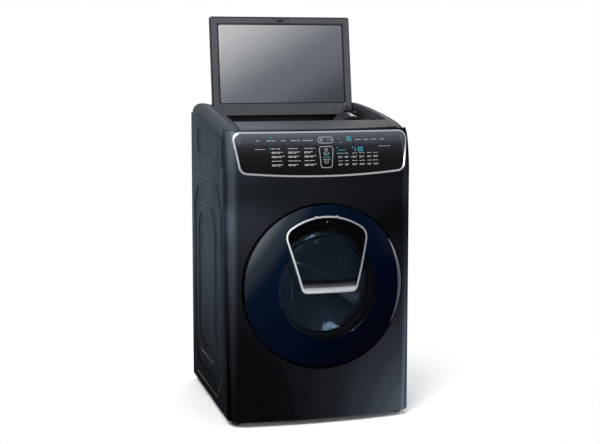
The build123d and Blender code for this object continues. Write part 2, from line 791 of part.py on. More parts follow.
# Deck under the lid

def on_deck(shape):
    """Place a shape made level, with Y from the lid's hinge, on the slope of the closed lid."""
    return Pos(0, HINGE_Y, HINGE_Z) * Rot(LID_SLOPE, 0, 0) * shape


def above_deck(level):
    """Everything above a level of the sloping deck."""
    return on_deck(block(-WIDTH, WIDTH, -DEPTH, DEPTH, level, level + DEPTH))


def make_tub_deck():
    half = SHOULDER_IN - DECK_GAP
    front = -LID_LENGTH - DECK_LIP
    deck = block(-half, half, front, DECK_TAIL, -DECK_DROP - DECK_PLATE, -DECK_DROP)
    for side in (-1, 1):
        inner = side * (half - DECK_PLATE)
        x0, x1 = sorted((inner, side * half))
        deck += block(x0, x1, front, DECK_TAIL, -DECK_DROP, DECK_RIM)
    deck += block(-half, half, DECK_TAIL - DECK_PLATE, DECK_TAIL, -DECK_DROP, DECK_BACK)
    deck = on_deck(deck)
    collar = bar_z(UPPER_OPENING_R + DECK_PLATE, UPPER_TUB_TOP + DECK_PLATE, CONSOLE_TOP + DECK_DROP,
                   UPPER_X, UPPER_Y)
    deck += collar - above_deck(-DECK_DROP)
    deck -= bar_z(UPPER_OPENING_R, 0, 2 * CONSOLE_TOP, UPPER_X, UPPER_Y)
    deck -= hinge_bore(DECK_GAP)
    return deck - block(-WIDTH, WIDTH, 0, STRIP_REAR + DECK_GAP, 0, 2 * CONSOLE_TOP)


def make_deck_strip():
    half = SHOULDER_IN - DECK_GAP
    low = CONSOLE_TOP + SEAM_GAP
    wall = STRIP_REAR - STRIP_WALL
    face = outline((CONSOLE_LEAN, low), (CONSOLE_LEAN, low + STRIP_WALL), (STRIP_REAR, STRIP_HIGH),
                   (STRIP_REAR, STRIP_FOOT), (wall, STRIP_FOOT), (wall, STRIP_HIGH - STRIP_WALL),
                   (SEAM_Y, low))
    strip = through_x(face, -half, half)
    strip &= through_z(plan(SEAM_GAP, CONSOLE_LEAN, DEPTH), 0, 2 * CONSOLE_TOP)
    return strip


def hump(inset):
    """Arched cross-section of the dispenser's hood, over the deck."""
    half = DISPENSER_HALF - inset
    face = make_face([
        ThreePointArc((DISPENSER_X - half, -DECK_DROP), (DISPENSER_X, -DECK_DROP + DISPENSER_RISE - inset),
                      (DISPENSER_X + half, -DECK_DROP)),
        Line((DISPENSER_X + half, -DECK_DROP), (DISPENSER_X - half, -DECK_DROP)),
    ])
    return face


def make_dispenser_housing():
    rear = -DISPENSER_FRONT + DISPENSER_LENGTH
    hood = through_y(hump(0), -DISPENSER_FRONT, rear)
    hood -= through_y(hump(DISPENSER_WALL), -DISPENSER_FRONT + DISPENSER_WALL, rear - DISPENSER_WALL)
    mouth_back = -DISPENSER_FRONT + 2 * DISPENSER_WALL
    hood -= through_y(hump(DISPENSER_MOUTH), -DISPENSER_FRONT - OVERCUT, mouth_back)
    return on_deck(hood)


def make_dispenser_drawer():
    low = -DECK_DROP + DRAWER_GAP
    high = low + DRAWER_HEIGHT
    rear = -DISPENSER_FRONT + DISPENSER_LENGTH - 2 * DISPENSER_WALL
    wall = DISPENSER_WALL
    tray = block(DISPENSER_X - DRAWER_HALF, DISPENSER_X + DRAWER_HALF, -DISPENSER_FRONT, rear, low, high)
    tray -= block(DISPENSER_X - DRAWER_HALF + wall, DISPENSER_X + DRAWER_HALF - wall,
                  -DISPENSER_FRONT + wall, rear - wall, low + wall, high + wall)
    tray -= bar_y(FINGER_R, -DISPENSER_FRONT - OVERCUT, -DISPENSER_FRONT + 2 * wall, DISPENSER_X, high)
    return on_deck(tray)


# Top washer

def make_upper_tub():
    z0 = UPPER_TUB_BOTTOM
    tub = bar_z(UPPER_TUB_R, z0, UPPER_TUB_TOP, UPPER_X, UPPER_Y)
    tub -= bar_z(UPPER_TUB_R - UPPER_WALL, z0 + UPPER_WALL, UPPER_TUB_TOP + OVERCUT, UPPER_X, UPPER_Y)
    tub += bar_z(UPPER_HUB_R, z0 - UPPER_HUB_DROP, z0 + UPPER_HUB_DROP, UPPER_X, UPPER_Y)
    for x, y in rod_spots():
        arm = block(-ROD_BOSS, ROD_BOSS, -ROD_BOSS, ROD_BOSS, z0, z0 + 2 * ROD_BOSS)
        tub += Pos(x, y, 0) * arm - bar_z(UPPER_TUB_R - OVERCUT, 0, 2 * CONSOLE_TOP, UPPER_X, UPPER_Y)
    for x, y in rod_spots():
        tub -= bar_z(ROD_R + DECK_GAP, 0, UPPER_TUB_TOP, x, y)
    return tub - bar_z(UPPER_SLEEVE_R + RUNNING_FIT, 0, UPPER_TUB_TOP, UPPER_X, UPPER_Y)


def rod_spots():
    reach = (UPPER_TUB_R + ROD_BOSS) / sqrt(2)
    return [(UPPER_X + a * reach, UPPER_Y + b * reach) for a in (-1, 1) for b in (-1, 1)]


def make_hanger_rods():
    rods = []
    for x, y in rod_spots():
        rod = bar_z(ROD_R, UPPER_TUB_BOTTOM - ROD_BOSS, CONSOLE_TOP + DECK_DROP, x, y)
        rod += bar_z(ROD_BOSS, UPPER_TUB_BOTTOM - ROD_BOSS, UPPER_TUB_BOTTOM, x, y)
        rod -= above_deck(-DECK_DROP - DECK_PLATE)
        rods.append(rod.solid())
    return Compound(rods)


def make_upper_motor():
    top = UPPER_TUB_BOTTOM
    motor = bar_z(UPPER_MOTOR_R, UPPER_MOTOR_LOW, top, UPPER_X, UPPER_Y)
    motor -= bar_z(UPPER_HUB_R, top - UPPER_HUB_DROP, top, UPPER_X, UPPER_Y)
    return motor - bar_z(UPPER_SLEEVE_R + OVERCUT, UPPER_MOTOR_LOW + UPPER_HUB_DROP, top, UPPER_X, UPPER_Y)


def make_upper_basket():
    floor = UPPER_TUB_BOTTOM + UPPER_HUB_DROP + UPPER_WALL
    basket = bar_z(UPPER_BASKET_R, floor, UPPER_BASKET_TOP, UPPER_X, UPPER_Y)
    basket -= bar_z(UPPER_BASKET_R - UPPER_BASKET_WALL, floor + UPPER_BASKET_WALL, UPPER_TUB_TOP,
                    UPPER_X, UPPER_Y)
    rim = bar_z(UPPER_BASKET_R, UPPER_BASKET_TOP - RIM_HEIGHT, UPPER_BASKET_TOP, UPPER_X, UPPER_Y)
    rim -= bar_z(UPPER_BASKET_R - RIM_HEIGHT, 0, UPPER_BASKET_TOP, UPPER_X, UPPER_Y)
    basket += rim
    bottom = UPPER_MOTOR_LOW + UPPER_HUB_DROP + UPPER_WALL
    basket += bar_z(UPPER_SLEEVE_R, bottom, floor + UPPER_BASKET_WALL, UPPER_X, UPPER_Y)
    return basket - bar_z(UPPER_SHAFT_R + RUNNING_FIT, 0, floor + UPPER_WALL, UPPER_X, UPPER_Y)


def make_pulsator():
    floor = UPPER_TUB_BOTTOM + UPPER_HUB_DROP + UPPER_WALL + UPPER_BASKET_WALL + PULSATOR_GAP
    disc = bar_z(PULSATOR_R, floor, floor + PULSATOR_THICK, UPPER_X, UPPER_Y)
    cone = Cone(PULSATOR_CONE, UPPER_SHAFT_R, VANE_HEIGHT)
    disc += Pos(UPPER_X, UPPER_Y, floor + PULSATOR_THICK + VANE_HEIGHT / 2) * cone
    for step in range(VANES):
        vane = block(UPPER_SHAFT_R, PULSATOR_R - VANE_WIDTH, -VANE_WIDTH / 2, VANE_WIDTH / 2,
                     floor + PULSATOR_THICK / 2, floor + PULSATOR_THICK + VANE_HEIGHT / 2)
        disc += Pos(UPPER_X, UPPER_Y, 0) * Rot(0, 0, 360 * step / VANES) * vane
    low = UPPER_MOTOR_LOW + UPPER_HUB_DROP + UPPER_WALL
    return disc + bar_z(UPPER_SHAFT_R, low, floor + PULSATOR_THICK, UPPER_X, UPPER_Y)


# Lid, made upright with Y through its thickness and Z along it from the hinge

def on_lid(shape):
    return Pos(0, HINGE_Y, HINGE_Z) * Rot(-LID_LEAN, 0, 0) * shape


def lid_face(inset):
    """Front view of the lid, drawn in from its edge on all sides."""
    middle = Pos(0, (LID_LENGTH - LID_TAIL) / 2)
    length = LID_LENGTH + LID_TAIL - 2 * inset
    return middle * RectangleRounded(2 * (LID_HALF - inset), length, LID_CORNER - inset)


def make_lid_shell():
    outer = LID_RISE + LID_THICK
    shell = through_y(lid_face(0), LID_RISE, outer)
    shell = fillet(shell.faces().sort_by(Axis.Y)[-1].edges(), LID_EDGE)
    shell -= through_y(lid_face(LID_WALL), LID_RISE - OVERCUT, outer - LID_WALL)
    inner = LID_HALF - LID_WALL / 2
    for x0, x1 in ((-inner, -inner + PIN_GRIP), (inner - PIN_GRIP, inner)):
        shell += block(x0, x1, -HINGE_BLOCK, outer - LID_WALL, -LID_TAIL, HINGE_BLOCK)
    return on_lid(shell - bar_x(HINGE_PIN_R + RUNNING_FIT, -WIDTH, WIDTH, 0, 0))


def panel_face(grow):
    """The grey panel on the lid's inner side, with a margin round it."""
    high = LID_LENGTH - LID_BORDER
    middle = (LID_PANEL_LOW + high) / 2
    return Pos(0, middle) * RectangleRounded(2 * (LID_HALF - LID_BORDER + grow),
                                             high - LID_PANEL_LOW + 2 * grow, LID_CORNER + grow)


def make_lid_frame():
    half = LID_HALF - LID_WALL
    top = LID_LENGTH - LID_WALL
    frame = through_y(lid_face(LID_WALL), LID_RISE, LID_RISE + LID_FRAME)
    frame -= block(-WIDTH, WIDTH, -WIDTH, WIDTH, -WIDTH, HINGE_BLOCK)
    frame -= through_y(panel_face(LID_GROOVE), LID_RISE - OVERCUT, LID_RISE + LID_FRAME / 2)
    frame -= block(-LATCH_NOTCH, LATCH_NOTCH, LID_RISE - OVERCUT, LID_RISE + LID_FRAME / 2,
                   top - 2 * LATCH_DEEP, top - LATCH_DEEP / 2)
    for x in (-half + LID_BORDER / 2, half - LID_BORDER / 2):
        frame += bar_y(BUMPER_R, LID_RISE - BUMPER_RISE, LID_RISE + OVERCUT, x, top - LID_BORDER / 2)
    return on_lid(frame)


def make_lid_inner_panel():
    face = panel_face(0)
    panel = through_y(face, LID_RISE - LID_PANEL_PROUD, LID_RISE + LID_FRAME / 2)
    return on_lid(panel)


def make_lid_hinge_cover():
    half = LID_HALF - LID_BORDER - LID_GROOVE
    bar = block(-half, half, LID_RISE - HINGE_COVER, LID_RISE, -LID_TAIL, LID_PANEL_LOW - 2 * LID_GROOVE)
    bar = fillet(bar.faces().sort_by(Axis.Y)[0].edges(), HINGE_COVER / 3)
    return on_lid(bar)


# Main washer, round the axis of the front door

def make_tub_front():
    wall = TUB_WALL
    lip = TUB_LIP_R
    face = outline((lip, TUB_FRONT - TUB_LIP), (lip + wall, TUB_FRONT - TUB_LIP), (lip + wall, TUB_FRONT),
                   (TUB_R, TUB_FRONT), (TUB_R, TUB_JOINT - TUB_FLANGE),
                   (TUB_R + TUB_FLANGE, TUB_JOINT - TUB_FLANGE), (TUB_R + TUB_FLANGE, TUB_JOINT),
                   (TUB_R - wall, TUB_JOINT), (TUB_R - wall, TUB_FRONT + wall), (lip, TUB_FRONT + wall))
    tub = round_y(face)
    for x in (-SPRING_X, SPRING_X):
        tub += damper_lug(x, DAMPER_FRONT_Y)
    return tub


def damper_lug(x, y):
    """Foot on the tub's underside that a damper stands under."""
    lug = block(x - LUG_HALF, x + LUG_HALF, y - LUG_HALF, y + LUG_HALF, LUG_LOW, DOOR_Z)
    return lug - bar_y(TUB_R - OVERCUT, 0, DEPTH, 0, DOOR_Z)


def spring_lug(x):
    """Ear on the tub's upper side that a spring hangs on to."""
    lug = block(x - LUG_HALF, x + LUG_HALF, SPRING_Y - LUG_HALF, SPRING_Y + LUG_HALF, DOOR_Z, LUG_HIGH)
    return lug - bar_y(TUB_R - OVERCUT, 0, DEPTH, 0, DOOR_Z)


def make_tub_rear():
    wall = TUB_WALL
    hub_front = BASKET_REAR + SPIDER_DEEP + 2 * wall
    inside = TUB_R - wall
    rim = TUB_R + TUB_FLANGE
    face = outline((BEARING_R, hub_front), (HUB_R, hub_front), (HUB_R, TUB_REAR - wall),
                   (inside, TUB_REAR - wall), (inside, TUB_JOINT), (rim, TUB_JOINT),
                   (rim, TUB_JOINT + TUB_FLANGE), (TUB_R, TUB_JOINT + TUB_FLANGE), (TUB_R, TUB_REAR),
                   (HUB_R, TUB_REAR), (HUB_R, HUB_REAR), (BEARING_R, HUB_REAR))
    tub = round_y(face)
    for x in (-SPRING_X, SPRING_X):
        tub += damper_lug(x, DAMPER_REAR_Y)
        tub += spring_lug(x)
    return tub


def make_drum_bearings():
    front = BASKET_REAR + SPIDER_DEEP + 2 * TUB_WALL
    rings = []
    for y in (front, HUB_REAR - BEARING_LENGTH):
        ring = bar_y(BEARING_R, y, y + BEARING_LENGTH, 0, DOOR_Z)
        rings.append((ring - bar_y(SHAFT_R, y - OVERCUT, HUB_REAR + OVERCUT, 0, DOOR_Z)).solid())
    return Compound(rings)


def make_basket():
    wall = BASKET_WALL
    mouth = BASKET_MOUTH_R
    lip = BASKET_FRONT - MOUTH_LIP
    face = outline((mouth, lip), (mouth + wall, lip), (mouth + wall, BASKET_FRONT), (BASKET_R, BASKET_FRONT),
                   (BASKET_R, BASKET_REAR), (0, BASKET_REAR), (0, BASKET_REAR - wall),
                   (BASKET_R - wall, BASKET_REAR - wall), (BASKET_R - wall, BASKET_FRONT + wall),
                   (mouth, BASKET_FRONT + wall))
    return round_y(face)


def make_lifters():
    inside = BASKET_R - BASKET_WALL - SOFT_GAP
    foot = -sqrt(inside ** 2 - LIFTER_HALF ** 2)
    flank = -inside + LIFTER_HEIGHT / 3
    tip = -inside + LIFTER_HEIGHT
    corners = [(LIFTER_HALF, foot), (LIFTER_HALF, flank), (LIFTER_TIP, tip), (-LIFTER_TIP, tip),
               (-LIFTER_HALF, flank), (-LIFTER_HALF, foot)]
    edges = [Line(start, end) for start, end in zip(corners, corners[1:])]
    edges.append(ThreePointArc(corners[-1], (0, -inside), corners[0]))
    lifter = through_y(make_face(edges), BASKET_FRONT + LIFTER_END, BASKET_REAR - LIFTER_END)
    places = [Pos(0, 0, DOOR_Z) * Rot(0, 360 * step / LIFTERS + LIFTER_TURN, 0) for step in range(LIFTERS)]
    return Compound([(place * lifter).solid() for place in places])


def make_spider_shaft():
    rear = BASKET_REAR + SPIDER_DEEP
    spider = bar_y(HUB_R, BASKET_REAR, rear, 0, DOOR_Z)
    for step in range(LIFTERS):
        arm = block(-SPIDER_ARM, SPIDER_ARM, BASKET_REAR, rear - TUB_WALL, 0, BASKET_R - LIFTER_TIP)
        spider += Pos(0, 0, DOOR_Z) * Rot(0, 360 * step / LIFTERS, 0) * arm
    return spider + bar_y(SHAFT_R - RUNNING_FIT, rear, SHAFT_REAR, 0, DOOR_Z)


def make_stator():
    ring = bar_y(STATOR_R, TUB_REAR, TUB_REAR + STATOR_DEEP, 0, DOOR_Z)
    return ring - bar_y(HUB_R, 0, DEPTH, 0, DOOR_Z)


def make_rotor():
    back = HUB_REAR + TUB_WALL
    cup = bar_y(ROTOR_R, TUB_REAR + TUB_WALL, back + ROTOR_PLATE, 0, DOOR_Z)
    cup -= bar_y(STATOR_R + STATOR_GAP, 0, back, 0, DOOR_Z)
    return cup - bar_y(SHAFT_R - RUNNING_FIT, 0, DEPTH, 0, DOOR_Z)


def make_door_gasket():
    lip = TUB_LIP_R + TUB_WALL + SOFT_GAP
    edge = MOUTH_R - SOFT_GAP
    inner = edge - GASKET_LIP
    wall = GASKET_WALL
    front = DISH_FLOOR - GASKET_LIP
    rear = TUB_FRONT - SOFT_GAP
    first, second, third, fourth = GASKET_FOLDS
    face = outline((inner, front), (edge, front), (edge, first), (edge + GASKET_LIP, second), (edge, third),
                   (lip + wall, fourth), (lip + wall, rear), (lip, rear), (lip, fourth + 2 * wall),
                   (edge - 2 * wall, third + wall), (edge + GASKET_LIP - 2 * wall, second), (inner, first))
    return round_y(face)


def make_counterweights():
    inner = TUB_LIP_R + TUB_WALL + SOFT_GAP + 2 * GASKET_WALL
    rear = TUB_FRONT
    front = DISH_FLOOR + 2 * WEIGHT_CLEAR
    ring = bar_y(TUB_R - SOFT_GAP, front, rear, 0, DOOR_Z) - bar_y(inner, 0, DEPTH, 0, DOOR_Z)
    upper = ring & block(-WIDTH, WIDTH, 0, DEPTH, DOOR_Z + WEIGHT_CUT, 2 * DOOR_Z)
    lower = ring & block(-WIDTH, WIDTH, 0, DEPTH, 0, DOOR_Z - WEIGHT_CUT)
    return Compound([upper.solid(), lower.solid()])


def make_suspension_springs():
    springs = []
    for x in (-SPRING_X, SPRING_X):
        spring = bar_z(SPRING_R, LUG_HIGH, HANGER_Z, x, SPRING_Y)
        springs.append((spring - bar_z(SPRING_R - SPRING_WIRE, 0, CONSOLE_TOP, x, SPRING_Y)).solid())
    return Compound(springs)


def make_dampers():
    floor = CABINET_BOTTOM + 2 * BASE_WALL
    dampers = []
    for x in (-SPRING_X, SPRING_X):
        for y in (DAMPER_FRONT_Y, DAMPER_REAR_Y):
            damper = bar_z(DAMPER_R, floor, LUG_LOW - DAMPER_ROD, x, y)
            dampers.append((damper + bar_z(DAMPER_R / 2, floor, LUG_LOW, x, y)).solid())
    return Compound(dampers)


# Drain

def make_drain_pump():
    front = FILTER_FRONT
    floor = CABINET_BOTTOM + 2 * BASE_WALL
    pump = bar_y(FILTER_R + PUMP_WALL, front, front + PUMP_LENGTH, FILTER_X, FILTER_Z)
    pump += bar_y(PUMP_MOTOR_R, front + PUMP_LENGTH, front + PUMP_LENGTH + PUMP_MOTOR, FILTER_X, FILTER_Z)
    pump += block(FILTER_X - PUMP_FOOT, FILTER_X + PUMP_FOOT, front + PUMP_FOOT, front + 3 * PUMP_FOOT, floor,
                  FILTER_Z)
    return pump - bar_y(FILTER_R + RUNNING_FIT, 0, front + PUMP_LENGTH - PUMP_WALL, FILTER_X, FILTER_Z)


def make_drain_filter():
    front = FILTER_FRONT
    plug = bar_y(FILTER_R, front, front + PUMP_LENGTH - 2 * PUMP_WALL, FILTER_X, FILTER_Z)
    plug -= bar_y(FILTER_R - PUMP_WALL, front + 2 * PUMP_WALL, front + PUMP_LENGTH, FILTER_X, FILTER_Z)
    flange = front - SEAM_GAP
    plug += bar_y(FILTER_R + PUMP_WALL, flange - PUMP_WALL, flange, FILTER_X, FILTER_Z)
    plug += bar_y(FILTER_R / 2, flange - OVERCUT, front + OVERCUT, FILTER_X, FILTER_Z)
    return plug + block(FILTER_X - FILTER_R, FILTER_X + FILTER_R, flange - 4 * PUMP_WALL, flange - PUMP_WALL,
                        FILTER_Z - PUMP_WALL, FILTER_Z + PUMP_WALL)


def make_filter_cover():
    shell = through_z(plan(0, 0, SEAM_Y), FILTER_COVER_LOW, FILTER_COVER_HIGH)
    shell -= through_z(plan(FLAP_WALL, 0, SEAM_Y), 0, 2 * FILTER_COVER_HIGH)
    flap = shell & filter_window(0)
    middle = FILTER_COVER_HALF - FLAP_LUG
    pins = flap_pin(FLAP_PIN_R, FLAP_LUG - FLAP_GAP)
    return flap + (pins - block(FILTER_X - middle, FILTER_X + middle, 0, SEAM_Y, 0, FILTER_Z))


# Rear fittings

def make_inlet_valves():
    inner = REAR_Y - SHEET
    valve = block(VALVE_X - VALVE_PITCH, VALVE_X + VALVE_PITCH, inner - 3 * SPIGOT_R, inner,
                  VALVE_Z - FLANGE * SPIGOT_R, VALVE_Z + FLANGE * SPIGOT_R)
    for x in valve_spots():
        valve += bar_y(SPIGOT_R, inner - OVERCUT, DEPTH, x, VALVE_Z)
        valve -= bar_y(SPIGOT_R - SPIGOT_WALL, inner, DEPTH + OVERCUT, x, VALVE_Z)
    return valve


def make_drain_outlet():
    inner = REAR_Y - SHEET
    pipe = bar_y(DRAIN_R, inner - 3 * DRAIN_R, DEPTH, DRAIN_X, DRAIN_Z)
    pipe += bar_y(FLANGE * DRAIN_R, inner - SPIGOT_WALL, inner, DRAIN_X, DRAIN_Z)
    return pipe - bar_y(DRAIN_R - SPIGOT_WALL, inner - 2 * DRAIN_R, DEPTH + OVERCUT, DRAIN_X, DRAIN_Z)


def make_cord_inlet():
    inner = REAR_Y - SHEET
    gland = bar_y(CORD_R, inner - 2 * CORD_R, REAR_Y + CORD_R / 2, CORD_X, CORD_Z)
    gland += bar_y(FLANGE * CORD_R, inner - SPIGOT_WALL, inner, CORD_X, CORD_Z)
    return gland - bar_y(CORD_R / 2, inner - CORD_R, DEPTH, CORD_X, CORD_Z)


# Front door, round its own axis

def dome_centre():
    """Depth of the middle of the ball that the door's face is cut from."""
    return dome_radius() - DOOR_BULGE


def dome_radius():
    return (DOOR_R ** 2 + DOOR_BULGE ** 2) / (2 * DOOR_BULGE)


def dome_y(r, inset):
    """Depth of the door's face at a distance from its middle, at an inset below the surface."""
    return dome_centre() - sqrt((dome_radius() - inset) ** 2 - r ** 2)


def dome(inset, edge=DOOR_R):
    """Everything behind the door's face, out to the door's edge."""
    face = make_face([
        ThreePointArc((0, dome_y(0, inset)), (edge / 2, dome_y(edge / 2, inset)),
                      (edge, dome_y(edge, inset))),
        Line((edge, dome_y(edge, inset)), (edge, DOME_BACK)),
        Line((edge, DOME_BACK), (0, DOME_BACK)),
        Line((0, DOME_BACK), (0, dome_y(0, inset))),
    ])
    return round_y(face)


def on_door(face):
    """Outline in X and Z about the door's middle, run through the door."""
    return through_y(Pos(0, DOOR_Z) * face, -2 * DOOR_BULGE, DOME_BACK)


def add_outline(grow):
    """Front view of the add-item door: arched top, tapering sides, straight foot."""
    face = make_face([
        ThreePointArc((-ADD_SHOULDER_HALF, ADD_SHOULDER), (0, ADD_TOP), (ADD_SHOULDER_HALF, ADD_SHOULDER)),
        Line((ADD_SHOULDER_HALF, ADD_SHOULDER), (ADD_BOTTOM_HALF, ADD_BOTTOM)),
        Line((ADD_BOTTOM_HALF, ADD_BOTTOM), (-ADD_BOTTOM_HALF, ADD_BOTTOM)),
        Line((-ADD_BOTTOM_HALF, ADD_BOTTOM), (-ADD_SHOULDER_HALF, ADD_SHOULDER)),
    ])
    low = face.vertices().group_by(Axis.Y)[0]
    face = fillet(low, ADD_FOOT_CORNER)
    high = [vertex for vertex in face.vertices() if vertex.Y > ADD_SHOULDER - OVERCUT]
    face = fillet(high, ADD_CORNER)
    if grow:
        face = offset(face, amount=grow)
    return face


def grip_outline():
    """Crescent at the right edge of the door that the fingers reach into."""
    x = sqrt(DOOR_R ** 2 - GRIP_CHORD ** 2)
    return make_face([
        ThreePointArc((x, -GRIP_CHORD), (GRIP_X, 0), (x, GRIP_CHORD)),
        ThreePointArc((x, GRIP_CHORD), (DOOR_R + GRIP_SINK, 0), (x, -GRIP_CHORD)),
    ])


def hinge_ears(grow):
    """Two ears of the door that hold the pin of the add-item door."""
    y = add_pin_y()
    z = DOOR_Z + ADD_TOP - ADD_PIN_DROP
    ears = []
    for x0, x1 in ((-ADD_PIN_HALF - ADD_EAR, -ADD_PIN_HALF), (ADD_PIN_HALF, ADD_PIN_HALF + ADD_EAR)):
        ear = bar_x(ADD_EAR_R + grow, x0 - grow, x1 + grow, y, z)
        ear += block(x0 - grow, x1 + grow, y, DOOR_BACK - DOOR_RING_WALL / 2, z - ADD_EAR_R - grow,
                     z + ADD_EAR_R + grow)
        ears.append(ear)
    return ears[0] + ears[1]


def add_pin_y():
    """Depth of the add-item door's pin, just under the face of its trim."""
    return dome_y(ADD_TOP - ADD_PIN_DROP, -ADD_TRIM_PROUD) + ADD_PIN_R + ADD_PIN_COVER


def make_door_cover():
    cover = dome(0) - dome(DOOR_COVER_WALL)
    cover -= on_door(add_outline(ADD_GAP))
    cover -= on_door(grip_outline())
    cover -= bar_y(WINDOW_R + SOFT_GAP, -2 * DOOR_BULGE, DOME_BACK, 0, DOOR_Z)
    return cover - hinge_ears(ADD_EAR_GAP)


def make_door_window():
    window = (dome(0) - dome(DOOR_COVER_WALL)) & bar_y(WINDOW_R, -2 * DOOR_BULGE, DOME_BACK, 0, DOOR_Z)
    return window - on_door(add_outline(ADD_GAP))


def make_door_ring():
    wall = DOOR_RING_WALL
    edge = DOOR_R - SOFT_GAP
    inner = DOOR_RING_IN
    front = -DOOR_BULGE
    rear = DOOR_BACK
    face = outline((edge, front), (edge, rear), (inner, rear), (inner, front), (inner + wall, front),
                   (inner + wall, rear - wall), (edge - wall, rear - wall), (edge - wall, front))
    ring = round_y(face) & dome(DOOR_COVER_WALL)
    ring -= on_door(add_outline(ADD_GAP)) - dome(ADD_WALL + 2 * ADD_GAP)
    ring -= on_door(grip_outline()) - dome(GRIP_SINK + GRIP_WALL)
    ring += hinge_ears(0)
    ring -= bar_x(ADD_PIN_R + RUNNING_FIT, -WIDTH, WIDTH, add_pin_y(), DOOR_Z + ADD_TOP - ADD_PIN_DROP)
    ring -= block(-WIDTH, DOOR_HINGE_X + DOOR_NOTCH_DEEP, -DOOR_BULGE, DOME_BACK, DOOR_Z - DOOR_NOTCH,
                  DOOR_Z + DOOR_NOTCH)
    return ring + latch_hook()


def latch_hook():
    """Hook on the back of the door that the lock holds."""
    hook = block(LATCH_X - HOOK_HALF, LATCH_X + HOOK_HALF, DOOR_BACK - OVERCUT, LATCH_REACH,
                 DOOR_Z - HOOK_TALL, DOOR_Z + HOOK_TALL)
    return hook - bar_x(HOOK_EYE_R, 0, WIDTH, LATCH_REACH - HOOK_EYE_IN, DOOR_Z)


def make_door_handle():
    grip = dome(GRIP_SINK) - dome(GRIP_SINK + GRIP_WALL)
    return grip & on_door(grip_outline())


def make_door_bowl():
    wall = BOWL_WALL
    flange = DOOR_RING_IN + BOWL_FLANGE
    back = DOOR_BACK
    face = outline((BOWL_R, back), (flange, back), (flange, back + wall), (BOWL_R, back + wall),
                   (BOWL_TIP_R, BOWL_BACK), (0, BOWL_BACK), (0, BOWL_BACK - wall),
                   (BOWL_TIP_R - wall, BOWL_BACK - wall), (BOWL_R - wall - OVERCUT, back))
    bowl = round_y(face)
    hole = outline((-ADD_MOUTH_HALF, ADD_MOUTH_LOW), (ADD_MOUTH_HALF, ADD_MOUTH_LOW),
                   (ADD_MOUTH_HALF, ADD_MOUTH_HIGH), (-ADD_MOUTH_HALF, ADD_MOUTH_HIGH))
    hole = fillet(hole.vertices(), ADD_FOOT_CORNER)
    return bowl - through_y(Pos(0, DOOR_Z) * hole, -DOOR_BULGE, 2 * BOWL_BACK)


def make_door_hinge_arm():
    x, y = DOOR_HINGE_X, DOOR_HINGE_Y
    half = HINGE_KNUCKLE
    edge = x + DOOR_NOTCH_DEEP
    inside = DOOR_BACK - DOOR_RING_WALL
    arm = bar_z(2 * DOOR_PIN_R, DOOR_Z - half, DOOR_Z + half, x, y)
    arm += block(x, edge + HINGE_LEAF, y - DOOR_PIN_R, y + DOOR_PIN_R, DOOR_Z - half, DOOR_Z + half)
    arm += block(edge + SEAM_GAP, edge + HINGE_LEAF, y, inside, DOOR_Z - half, DOOR_Z + half)
    arm += block(edge + SEAM_GAP, -DOOR_RING_IN - 2 * DOOR_RING_WALL, inside - HINGE_LEAF / 2, inside,
                 DOOR_Z - half, DOOR_Z + half)
    return arm - bar_z(DOOR_PIN_R + RUNNING_FIT, 0, 2 * DOOR_Z, x, y)


def make_door_hinge():
    x, y = DOOR_HINGE_X, DOOR_HINGE_Y
    base = HINGE_LEAF / 2
    face = outline(*[(x + right, y + rear) for right, rear in HINGE_ARM])
    low = HINGE_KNUCKLE + SEAM_GAP
    hinge = bar_z(DOOR_PIN_R, DOOR_Z - low - HINGE_LEAF, DOOR_Z + low + HINGE_LEAF, x, y)
    hinge += through_z(face, DOOR_Z + low, DOOR_Z + low + HINGE_LEAF)
    hinge += through_z(face, DOOR_Z - low - HINGE_LEAF, DOOR_Z - low)
    return hinge + block(x + HINGE_BASE[0], x + HINGE_BASE[1], DISH_FLOOR - base, DISH_FLOOR,
                         DOOR_Z - DOOR_NOTCH + base, DOOR_Z + DOOR_NOTCH - base)


def make_door_lock():
    back = DISH_FLOOR + FRONT_WALL
    lock = block(LATCH_X - LOCK_HALF, LATCH_X + LOCK_HALF, back, LATCH_REACH + LOCK_HALF, DOOR_Z - LOCK_HALF,
                 DOOR_Z + LOCK_HALF)
    return lock - lock_slot(back - OVERCUT, LATCH_REACH + HOOK_EYE_R)


# Add-item door

def make_add_door_trim():
    shell = dome(-ADD_TRIM_PROUD) - dome(ADD_WALL)
    trim = shell & on_door(add_outline(0) - add_outline(-ADD_TRIM))
    trim -= hinge_ears(ADD_EAR_GAP)
    reach = ADD_PIN_HALF + ADD_EAR + 2 * ADD_EAR_GAP
    return trim + bar_x(ADD_PIN_R, -reach, reach, add_pin_y(), DOOR_Z + ADD_TOP - ADD_PIN_DROP)


def make_add_door_glass():
    shell = dome(0) - dome(ADD_GLASS)
    shell &= on_door(add_outline(-ADD_TRIM))
    shell -= hinge_ears(ADD_EAR_GAP)
    shell -= bar_x(ADD_PIN_R, -WIDTH, WIDTH, add_pin_y(), DOOR_Z + ADD_TOP - ADD_PIN_DROP)
    return shell - block(-WIDTH, WIDTH, -WIDTH, WIDTH, 0, DOOR_Z + ADD_GLASS_LOW)


def make_add_door_handle():
    field = on_door(add_outline(-ADD_TRIM))
    bar = (dome(-ADD_TRIM_PROUD) - dome(ADD_WALL)) & field
    bar &= block(-WIDTH, WIDTH, -WIDTH, WIDTH, 0, DOOR_Z + ADD_BOTTOM + ADD_PULL)
    floor = (dome(ADD_GLASS) - dome(ADD_WALL)) & field
    floor &= block(-WIDTH, WIDTH, -WIDTH, WIDTH, 0, DOOR_Z + ADD_GLASS_LOW + ADD_TRIM)
    return bar + floor


# Every piece, written under its own name

